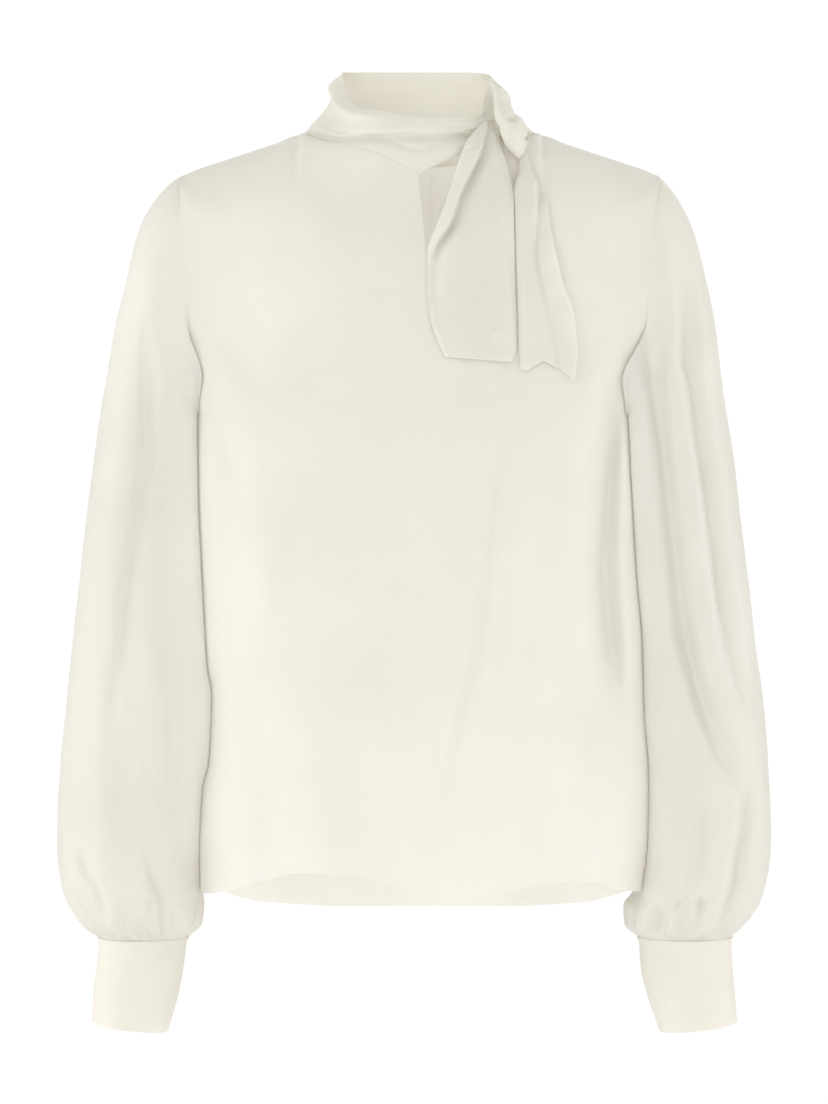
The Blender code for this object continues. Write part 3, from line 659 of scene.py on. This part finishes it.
def rounded(angle):
    """How far across and how far to the front the sleeve's section lies at an angle from its outer side."""
    return fuller(np.cos(angle), SLEEVE_ROUNDNESS), fuller(np.sin(angle), SLEEVE_ROUNDNESS)


def gathered(gathers, wander, from_seam, stretch=1.0, phase=0.0):
    """How far a row of gathers lifts the cloth, by its distance from the seam that holds them."""
    count, depth, reach, start = gathers
    shown = ease(from_seam / start) * ease(1 - from_seam / (reach * stretch))
    return depth * np.cos(count * wander + phase) * shown


def sleeve_place(side, angle, down):
    """A point of a sleeve, by the angle from its outer side over its front and the share of its length."""
    name = "left" if side > 0 else "right"
    rows = len(SLEEVE["depth"]) - 1
    sizes = dict(SLEEVE, row=np.arange(rows + 1.0))
    row = down * rows
    out_z, in_z, middle, depth = (read(sizes, "row", key, row) for key in ("out_z", "in_z", "middle", "depth"))
    outer, inner = (side * read(sizes, "row", name + key, row) for key in ("_out", "_in"))
    inner = inner + side * read(FULLER_SIDES, "z", name, in_z)
    middle_x, middle_z = (outer + inner) / 2, (out_z + in_z) / 2
    arm_x, arm_z = (outer - inner) / 2, (out_z - in_z) / 2
    cosine, sine = rounded(angle)
    outwards = np.stack([arm_x * cosine, -depth * sine, arm_z * cosine], axis=-1)
    point = np.stack([middle_x, middle, middle_z], axis=-1) + outwards
    outwards /= np.linalg.norm(outwards, axis=-1, keepdims=True)

    # the fullness is carried over the body's side, to a line just off the front and one just off the back
    degrees = np.degrees(angle) % 360
    lapped = np.zeros(np.shape(point))
    for part, lap, first_angle, last_angle, width in SLEEVE_LAPS[name]:
        crest = np.radians(blend(first_angle, last_angle, ease(row / LAP_TURN_ROWS)))
        across, forwards = rounded(crest)
        crest_x, crest_z = middle_x + arm_x * across, middle_z + arm_z * across
        crest_y = middle - depth * forwards
        near = width * blend(LAP_TOP_WIDTH, 1.0, ease(row / LAP_WIDEN_ROWS))
        held = ease((row - LAP_START_ROW) / LAP_START_ROWS) * ease((crest_z - LAP_END_Z) / LAP_END_REACH)
        held = held * bump((degrees - np.degrees(crest)) / near)
        lap_x = read(lap, "z", "x", crest_z)
        lap_y = body_point(lap_x, crest_z, part)[..., 1] + np.copysign(read(lap, "z", "off", crest_z), crest_y)
        lapped += np.stack([(lap_x - crest_x) * held, (lap_y - crest_y) * held, 0 * held], axis=-1)

    x, z = point[..., 0] + lapped[..., 0], point[..., 2]
    over = z - CUFF_TOP_Z
    from_armhole = ease(row / LEAVING_ROWS)
    front_folds = LEFT_SLEEVE_FRONT_FOLDS if side > 0 else RIGHT_SLEEVE_FRONT_FOLDS
    back_folds = LEFT_SLEEVE_BACK_FOLDS if side > 0 else RIGHT_SLEEVE_BACK_FOLDS
    lift = ease(sine * 3) * folds_lift(front_folds, x, z) + ease(-sine * 3) * folds_lift(back_folds, x, z)
    lift = lift + soft_waves(x * 1.7 + point[..., 1] * 1.3, z, SLEEVE_WAVES)
    lift = lift * from_armhole * ease(over / FOLDS_OVER_CUFF)
    lift = lift - SLEEVE_SLIM * ease((SLIM_FROM_Z - z) / SLIM_REACH)
    wander = angle + 0.10 * np.sin(3 * angle + 1) + 0.05 * np.sin(7 * angle)  # spaces the gathers unevenly
    lift = lift + gathered(CUFF_GATHERS, wander, over)
    lift = lift + gathered(FINE_GATHERS, wander, over, stretch=1 + 0.4 * np.sin(5 * angle), phase=1.2)
    from_head = np.where(z > UNDERARM_Z, side * x - side_at(np.full(np.shape(z), side), z), HEAD_GATHERS[2])
    lift = lift + gathered(HEAD_GATHERS, wander, from_head) * np.sqrt(np.maximum(0.0, np.cos(angle)))
    point = blend(armhole_point(side, angle), point + outwards * lift[..., None], from_armhole[..., None])
    x, y, z = np.moveaxis(point + lapped, -1, 0)
    return clear_of_body(side, np.stack([x, y, raised(z)], axis=-1))


def cuff_place(side, angle, down):
    """A point of a cuff, by the angle from its outer side over its front and the share of its depth."""
    name = "left" if side > 0 else "right"
    drop = blend(SEAM, CUFF["down"][-1], down)
    outer, inner = (side * read(CUFF, "down", name + key, drop) for key in ("_out", "_in"))
    depth = read(CUFF, "down", "depth", drop)
    lift = sum(high * np.sin(round_it * angle + turn * down) for high, round_it, turn in CUFF_WAVES)
    lift = lift * ease(drop / 4)
    for roll_drop, width, high in CUFF_ROLLS:
        lift = lift + high * bump((drop - roll_drop) / width)
    x = (outer + inner) / 2 + ((outer - inner) / 2 + side * lift) * np.cos(angle)
    y = SLEEVE["middle"][-1] - (depth + lift) * np.sin(angle)
    z = CUFF_TOP_Z - drop + CUFF_SLANT * side * (x - (outer + inner) / 2) * down
    return np.stack([x, y, raised(z)], axis=-1)


# ---- the collar and the tie ----
def collar_place(angle, up):
    """A point of the collar, by the angle round it from the front to the left and the share of its height."""
    x = NECK_HALF * np.sin(angle)
    front = np.cos(angle) > 0
    low_y = -np.where(front, NECK_FRONT, NECK_BACK) * np.cos(angle)
    low_z = np.where(front, read(FRONT_TOP, "x", "z", np.abs(x)), read(BACK_TOP, "x", "z", np.abs(x))) + SEAM
    low = np.stack([x, low_y, low_z], axis=-1)
    degrees = np.degrees(angle)
    rim = np.stack([read(COLLAR_RIM, "angle", axis, degrees) for axis in "xyz"], axis=-1)
    point = blend(low, rim, up[..., None])
    outwards = point * np.array([1.0, 1.0, 0.0])
    outwards /= np.linalg.norm(outwards, axis=-1, keepdims=True)
    push = -COLLAR_HOLLOW * np.abs(np.sin(angle)) * np.sin(np.pi * np.minimum(1, up * 1.25))
    push = push + COLLAR_TOP_ROLL * bump((up - 0.84) / 0.13) * bump((np.abs(degrees) - 84) / 34)
    folded = ease((np.cos(angle) + 0.2) / 0.7)
    crease_up = np.clip((COLLAR_CREASE_Z - low_z) / (rim[..., 2] - low_z), 0.08, 0.8)
    crease = bump((up - crease_up) / np.where(up > crease_up, 0.07, 0.12))
    push = push + folded * (COLLAR_ROLL * np.sqrt(np.sin(np.pi * np.clip(up, 0, 1)) + 1e-9))
    push = push - folded * (COLLAR_ROLL + COLLAR_CREASE_DEPTH) * crease
    # creases that run from the knot round the front, and a few soft ones at the sides and the back
    pulls = sum(deep * np.sin(up * closeness + slope * degrees) for deep, closeness, slope in KNOT_PULLS)
    push = push + bump((degrees - KNOT_PULLS_AT) / KNOT_PULLS_REACH) * pulls
    push = push - 1.6 * bump((up - 0.30 - 0.0022 * (degrees + 40)) / 0.07) * bump((degrees + 10) / 42)
    push = push + 0.7 * np.sin(3 * angle + 5 * up) * np.sin(np.pi * up)
    for pull_angle, turn, width, deep in COLLAR_PULLS:
        push = push - deep * bump((degrees - pull_angle - turn * up) / width) * np.sin(np.pi * up)
    return point + outwards * push[..., None]


def tie_point(x, z, lift):
    """A point that stands off the front by `lift`, and leans back to the knot above the neckline."""
    point = body_point(x, np.minimum(z, TIE_LEVEL_Z), "front")
    lean = TIE_LEAN * np.maximum(0.0, z - TIE_LEVEL_Z)
    return np.stack([x, point[..., 1] - np.maximum(lift, TIE_CLEAR) + lean, z], axis=-1)


def tie_front_place(across, along):
    """The front end: a strip folded back along its right, a valley, then the broad face."""
    z = blend(TIE_FRONT["z"][0], TIE_FRONT["z"][-1], along)
    right, left, lift = (read(TIE_FRONT, "z", key, z) for key in ("right", "left", "lift"))
    x = blend(right, left, across)
    from_right = across * (left - right)
    strip, shown = (read(TIE_STRIP, "z", key, z) for key in ("width", "shown"))
    valley = bump((from_right - strip) / np.where(from_right < strip, STRIP_STEEP, STRIP_GENTLE))
    raised_strip = bump((from_right - 0.5 * strip) / (0.45 * strip + 1))
    lift = lift - STRIP_DEPTH * shown * valley + STRIP_RISE * shown * raised_strip
    # its edges turn in towards the front, and the right one is laid down where the strip has ended
    laid = ease((LAID_FROM_Z - z) / LAID_REACH) * ease((z - LAID_TO_Z) / LAID_REACH)
    right_turn, right_width = RIGHT_TURN + LAID_TURN * laid, RIGHT_TURN + LAID_WIDTH * laid
    lift = lift - LEFT_TURN * bump((left - x) / LEFT_TURN_WIDTH) - right_turn * bump((x - right) / right_width)
    # the broad face has one soft ridge down its middle, and a small pucker near its bottom
    ridge = bump((x - FACE_RIDGE_X - 0.02 * (z + 90)) / FACE_RIDGE_WIDTH)
    lift = lift + ease((from_right - strip) / 8) * (FACE_WAVE * np.sin(x * 0.16 + z * 0.02) + FACE_RIDGE * ridge)
    lift = lift + PUCKER * bump((z - PUCKER_Z) / 3.5) * bump((x - FACE_RIDGE_X) / 6)
    slant = SLANT * ease((SLANT_FROM_Z - z) / SLANT_REACH)
    return tie_point(x, z - slant * (across - 0.5), lift)


def tie_back_place(across, along):
    """The back end: two soft rolls with a valley between them, and a bottom that is pointed in its middle."""
    z = blend(TIE_BACK["z"][0], TIE_BACK["z"][-1], along)
    right, left, lift = (read(TIE_BACK, "z", key, z) for key in ("right", "left", "lift"))
    x = blend(right, left, across)
    valley, deep = (read(TIE_VALLEY, "z", key, z) for key in ("x", "depth"))
    steep = VALLEY_STEEP - VALLEY_STEEPER * ease((z - BACK_TOP_Z) / 20)
    lift = lift - deep * bump((x - valley) / np.where(x < valley, steep, VALLEY_GENTLE))
    # just below the knot its left edge turns in, and further down it stands off the front
    standing = ease((BACK_TOP_Z - z) / 30)
    off = BACK_STAND * standing - BACK_TURN * (1 - standing)
    lift = lift + off * bump((left - x) / (3.0 + 4.0 * standing))
    lift = lift - BACK_RIGHT_TURN * bump((x - right) / BACK_RIGHT_WIDTH)
    pressed = ease((z - UNDER_KNOT_Z) / UNDER_KNOT_REACH) * ease((x - valley + 1) / 3)
    lift = lift * (1 - UNDER_KNOT_PRESS * pressed)
    lift = lift + 0.6 * np.sin(0.24 * x + 0.03 * z)
    corner = np.interp(across, TIE_BACK_CORNERS["across"], TIE_BACK_CORNERS["down"])
    return tie_point(x, z + POINTED * corner * ease((POINTED_FROM_Z - z) / POINTED_REACH), lift)


def knot_place(across, along):
    """A point of the knot's band, which is bunched into folds that run along it."""
    middle = np.stack([read(KNOT, "along", axis, along) for axis in "xyz"], axis=-1)
    half = read(KNOT, "along", "half", along)
    ahead = np.stack([read(KNOT, "along", axis, np.minimum(along + KNOT_STEP, 1)) for axis in "xyz"], axis=-1)
    behind = np.stack([read(KNOT, "along", axis, np.maximum(along - KNOT_STEP, 0)) for axis in "xyz"], axis=-1)
    run = ahead - behind
    run /= np.linalg.norm(run, axis=-1, keepdims=True)
    outwards = middle * np.array([1.0, 1.0, 0.0])
    outwards /= np.linalg.norm(outwards, axis=-1, keepdims=True)
    outwards = outwards - run * (outwards * run).sum(-1, keepdims=True)
    outwards /= np.linalg.norm(outwards, axis=-1, keepdims=True)
    aside = np.cross(run, outwards)
    turn = math.radians(KNOT_ARCH) * (across - 0.5)
    ripple = 1 + KNOT_RIPPLE * np.cos(5 * turn + 2 * along)
    for deep, place, drift, width in KNOT_CREASES:
        ripple = ripple - deep * bump((turn - place - drift * along) / width)
    round_x, round_y = np.sin(turn) * half * ripple, KNOT_FLATNESS * np.cos(turn) * half * ripple
    point = middle + aside * round_x[..., None] + outwards * round_y[..., None]
    x, z = point[..., 0], point[..., 2]
    for pit_x, pit_z, width, depth in KNOT_PITS:
        sunk = depth * bump(np.hypot(x - pit_x, z - pit_z) / width) * (point[..., 1] < middle[..., 1] + 4)
        point = point - outwards * sunk[..., None]
    return point


# ---- materials ----
class Value:
    """A socket of a shader tree. Arithmetic on it adds the Math nodes."""

    def __init__(self, tree, socket):
        self.tree, self.socket = tree, socket

    def node(self, kind, settings=None, **inputs):
        """Another node: its settings are set first, then the values or links of its sockets."""
        made = self.tree.nodes.new(kind)
        for key, value in (settings or {}).items():
            if key == "stops":
                for stop, (place, colour) in zip(made.color_ramp.elements, value):
                    stop.position, stop.color = place, colour
            else:
                setattr(made, key, value)
        for key, value in inputs.items():
            socket = made.inputs[int(key[1:])] if key[1:].isdigit() else made.inputs[key.replace("_", " ")]
            if isinstance(value, Value):
                self.tree.links.new(value.socket, socket)
            else:
                socket.default_value = value
        return made

    def out(self, made, name=0):
        return Value(self.tree, made.outputs[name])

    def combined(self, operation, *others):
        inputs = {f"_{i}": value for i, value in enumerate((self, *others))}
        return self.out(self.node("ShaderNodeMath", {"operation": operation}, **inputs))

    def __add__(self, other):
        return self.combined("ADD", other)

    __radd__ = __add__

    def __mul__(self, other):
        return self.combined("MULTIPLY", other)

    def sine(self):
        return self.combined("SINE")


IVORY, IVORY_DEEP = (0.895, 0.884, 0.846, 1.0), (0.865, 0.85, 0.805, 1.0)
TWO_LAYERS, TWO_LAYERS_DEEP = (0.862, 0.845, 0.782, 1.0), (0.832, 0.811, 0.741, 1.0)
LET_THROUGH, LET_THROUGH_DOUBLE = 0.56, 0.42  # share of the light that one layer and two layers let through
WARP_PITCH, WEFT_PITCH = 0.00042, 0.00036  # from one thread to the next, in metres
GRAIN, SLUB, CLOUD = (1500.0, 2.0, 0.6), (220.0, 3.0, 0.55), (9.0, 3.0, 0.5)  # scale, detail and roughness
GRAIN_DEPTH, GRAIN_STRENGTH = 0.00012, 0.35
SHEEN, SHEEN_ROUGHNESS, SPECULAR = 0.25, 0.35, 0.35
SMOOTHEST, ROUGHER = 0.50, 0.12


def silk(name, through, deep, light):
    """Silk crepe: a fine crossed weave with a pebbled grain, a soft sheen and faintly uneven ivory."""
    material = bpy.data.materials.new(name)
    material.use_nodes = True
    tree = material.node_tree
    tree.nodes.clear()
    start = Value(tree, None)
    place = start.node("ShaderNodeTexCoord")
    here = start.out(place, "Object")
    cut = start.node("ShaderNodeSeparateXYZ", _0=start.out(place, "UV"))
    pitches = (("X", WARP_PITCH), ("Y", WEFT_PITCH))
    warp, weft = ((start.out(cut, axis) * (2 * math.pi / pitch)).sine() for axis, pitch in pitches)
    noises = (
        start.node("ShaderNodeTexNoise", Vector=here, Scale=scale, Detail=detail, Roughness=rough)
        for scale, detail, rough in (GRAIN, SLUB, CLOUD)
    )
    grain, slub, cloud = (start.out(noise) for noise in noises)
    threads = warp * 0.5 + weft * 0.5
    height = threads * 0.35 + grain * 0.9 + slub * 0.6
    bumped = start.node("ShaderNodeBump", Strength=GRAIN_STRENGTH, Distance=GRAIN_DEPTH, Height=height)
    tone = cloud * 0.8 + slub * 0.2
    colour = start.node("ShaderNodeValToRGB", {"stops": ((0.30, deep), (0.70, light))}, Fac=tone)
    shader = start.node("ShaderNodeBsdfPrincipled")
    tree.links.new(colour.outputs["Color"], shader.inputs["Base Color"])
    tree.links.new(bumped.outputs["Normal"], shader.inputs["Normal"])
    tree.links.new((SMOOTHEST + grain * ROUGHER).socket, shader.inputs["Roughness"])
    shader.inputs["Sheen Weight"].default_value = SHEEN
    shader.inputs["Sheen Roughness"].default_value = SHEEN_ROUGHNESS
    shader.inputs["Specular IOR Level"].default_value = SPECULAR
    glow = start.node("ShaderNodeBsdfTranslucent")
    tree.links.new(colour.outputs["Color"], glow.inputs["Color"])
    mixed = start.node("ShaderNodeMixShader", Fac=through)
    tree.links.new(shader.outputs[0], mixed.inputs[1])
    tree.links.new(glow.outputs[0], mixed.inputs[2])
    output = start.node("ShaderNodeOutputMaterial")
    tree.links.new(mixed.outputs[0], output.inputs["Surface"])
    return material


# ---- making the pieces ----
def cloth(node, grid, place, wall, material, closed=False, gone=None, around=(0.0, 0.01)):
    """A sheet of cloth: a grid whose every point `place` puts on its form, by its two shares.

    Its faces look away from the upright line at `around`, and its wall goes inwards from them. It stands for
    the solid `node`, and where `gone` says so it's cut away.
    """
    name = node + "_cloth"
    columns, rows = grid
    sheet = bmesh.new()
    uv = sheet.loops.layers.uv.new("Cut")
    bmesh.ops.create_grid(sheet, x_segments=columns, y_segments=rows, size=0.5)
    sheet.verts.ensure_lookup_table()
    shares = np.array([vert.co[:2] for vert in sheet.verts]) + 0.5
    points = place(shares[:, 0], shares[:, 1]) * MM
    if gone:
        out = gone(shares, points / MM)
        cut = [face for face in sheet.faces if all(out[vert.index] for vert in face.verts)]
    for vert, point in zip(sheet.verts, points):
        vert.co = point
    wide, long = (float(v) for v in cut_size(points, columns, rows))
    flat = (shares * (wide, long)).tolist()
    for face in sheet.faces:
        for loop in face.loops:
            loop[uv].uv = flat[loop.vert.index]
    if gone:
        bmesh.ops.delete(sheet, geom=cut, context="FACES")
    if closed:
        bmesh.ops.remove_doubles(sheet, verts=sheet.verts, dist=1e-6)
    bmesh.ops.recalc_face_normals(sheet, faces=sheet.faces)
    for face in sheet.faces:
        face.smooth = True
    centre = Vector((*around, 0.0))
    outwards = 0.0
    for face in sheet.faces:
        away = face.verts[0].co - centre
        outwards += face.normal.x * away.x + face.normal.y * away.y
    if outwards < 0:
        bmesh.ops.reverse_faces(sheet, faces=sheet.faces)
    for edge in sheet.edges:
        edge.smooth = not edge.is_boundary
    mesh = bpy.data.meshes.new(name)
    sheet.to_mesh(mesh)
    sheet.free()
    mesh.materials.append(material)
    piece = bpy.data.objects.new(name, mesh)
    bpy.context.scene.collection.objects.link(piece)
    thickness = piece.modifiers.new("Wall", "SOLIDIFY")
    thickness.thickness = wall * MM
    thickness.offset = -1
    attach(piece, "root")
    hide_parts(node)
    return piece


def cut_size(points, columns, rows):
    """The mean width and length of a grid's cloth, in metres."""
    grid = points.reshape(rows + 1, columns + 1, 3)
    wide = np.linalg.norm(np.diff(grid, axis=1), axis=-1).sum(axis=1).mean()
    long = np.linalg.norm(np.diff(grid, axis=0), axis=-1).sum(axis=0).mean()
    return wide, long


def make_front(material):
    """The front, with one column of faces down its middle that is cut away at the slit."""
    columns = 2 * HALF_FRONT_COLUMNS + 1

    def from_middle(across):
        return (across - 0.5) * columns

    def place(across, up):
        share = np.maximum(0.0, np.abs(from_middle(across)) - 0.5) / HALF_FRONT_COLUMNS
        right, left = (body_place("front", side, share, up) for side in (-1, 1))
        return np.where((from_middle(across) < 0)[:, None], right, left)

    def in_slit(shares, points):
        return (np.abs(from_middle(shares[:, 0])) < 0.6) & (points[:, 2] > SLIT_BOTTOM_Z)

    return cloth("front", (columns, PANEL_ROWS), place, CLOTH, material, gone=in_slit)


def make_back(side, node, material):
    def place(across, up):
        return body_place("back", side, across, up)

    return cloth(node, BACK_GRID, place, CLOTH, material)


def make_round(side, node, grid, round_place, wall, material):
    """A sleeve or cuff, closed along its seam."""

    def place(across, down):
        return round_place(side, 2 * math.pi * across, down)

    around = (side * ARM_X * MM, ARM_Y * MM)
    return cloth(node, grid, place, wall, material, closed=True, around=around)


def make_sleeve(side, node, material):
    return make_round(side, node, SLEEVE_GRID, sleeve_place, CLOTH, material)


def make_cuff(side, node, material):
    return make_round(side, node, CUFF_GRID, cuff_place, DOUBLE_CLOTH, material)


def make_collar(material):
    def place(across, up):
        return collar_place(2 * math.pi * across - math.pi, up)

    return cloth("collar", COLLAR_GRID, place, DOUBLE_CLOTH, material, closed=True)


# ---- camera, light and floor ----
CAMERA_PLACE, CAMERA_LENS, CAMERA_SENSOR = (-0.0048, -2.453, -0.3216), 100, 36
ROOM_LIGHT, BACKDROP = 0.84, 1.05  # how bright the studio is as light, and as it is seen behind the blouse
LIT_POINT = (0, 0, -0.3)
FLOOR_Z, FLOOR_HALF, FLOOR_GREY, FLOOR_ROUGHNESS = -1.35, 2.4, 0.86, 0.9
LIGHTS = (  # name, place and width in metres, and power in watts
    ("key", (-1.5, -2.7, 0.4), 1.6, 20.0),
    ("fill", (1.5, -2.7, -0.2), 1.6, 13.0),
    ("right side", (-2.8, 0.0, -0.1), 1.6, 34.0),
    ("left side", (2.8, 0.0, -0.2), 1.6, 25.0),
    ("low", (0.1, -1.0, -1.3), 1.4, 5.0),
    ("behind", (0.3, 2.6, 0.1), 1.8, 36.0),
)


def make_stage():
    bpy.context.scene.view_settings.view_transform = "Standard"
    camera_data = bpy.data.cameras.new("camera")
    camera_data.lens, camera_data.sensor_width = CAMERA_LENS, CAMERA_SENSOR
    camera_data.clip_start, camera_data.clip_end = 0.05, 50
    camera = bpy.data.objects.new("camera", camera_data)
    camera.location = CAMERA_PLACE
    camera.rotation_euler = (math.pi / 2, 0, 0)
    bpy.context.scene.collection.objects.link(camera)
    bpy.context.scene.camera = camera

    world = bpy.data.worlds.new("studio")
    world.use_nodes = True
    background = world.node_tree.nodes["Background"]
    background.inputs["Color"].default_value = (1.0, 1.0, 1.0, 1.0)
    start = Value(world.node_tree, None)
    seen = start.out(start.node("ShaderNodeLightPath"), "Is Camera Ray")
    strength = ROOM_LIGHT + seen * (BACKDROP - ROOM_LIGHT)
    world.node_tree.links.new(strength.socket, background.inputs["Strength"])
    bpy.context.scene.world = world

    for name, place, size, energy in LIGHTS:
        light_data = bpy.data.lights.new(name, "AREA")
        light_data.size = size
        light_data.energy = energy
        light = bpy.data.objects.new(name, light_data)
        light.location = place
        light.rotation_euler = (Vector(LIT_POINT) - Vector(place)).to_track_quat("-Z", "Y").to_euler()
        bpy.context.scene.collection.objects.link(light)

    floor_mesh = bmesh.new()
    bmesh.ops.create_grid(floor_mesh, x_segments=1, y_segments=1, size=FLOOR_HALF)
    bmesh.ops.translate(floor_mesh, verts=floor_mesh.verts, vec=(0, 0, FLOOR_Z))
    mesh = bpy.data.meshes.new("floor")
    floor_mesh.to_mesh(mesh)
    floor_mesh.free()
    floor = bpy.data.objects.new("floor", mesh)
    bpy.context.scene.collection.objects.link(floor)
    paint = bpy.data.materials.new("pale_floor")
    paint.use_nodes = True
    shader = paint.node_tree.nodes["Principled BSDF"]
    shader.inputs["Base Color"].default_value = (FLOOR_GREY, FLOOR_GREY, FLOOR_GREY, 1.0)
    shader.inputs["Roughness"].default_value = FLOOR_ROUGHNESS
    mesh.materials.append(paint)


def main():
    make_stage()
    single = silk("silk_single", LET_THROUGH, IVORY_DEEP, IVORY)
    double = silk("silk_folded_double", LET_THROUGH_DOUBLE, TWO_LAYERS_DEEP, TWO_LAYERS)
    front = make_front(single)
    back_right = make_back(-1, "back_right", single)
    back_left = make_back(1, "back_left", single)
    sleeve_right = make_sleeve(-1, "sleeve_right", single)
    sleeve_left = make_sleeve(1, "sleeve_left", single)
    cuff_right = make_cuff(-1, "cuff_right", double)
    cuff_left = make_cuff(1, "cuff_left", double)
    collar = make_collar(double)
    tie_front, tie_back, knot = (
        cloth(node, grid, place, DOUBLE_CLOTH, double)
        for node, grid, place in (
            ("tie_end_front", TIE_FRONT_GRID, tie_front_place),
            ("tie_end_back", TIE_BACK_GRID, tie_back_place),
            ("knot", KNOT_GRID, knot_place),
        )
    )


main()
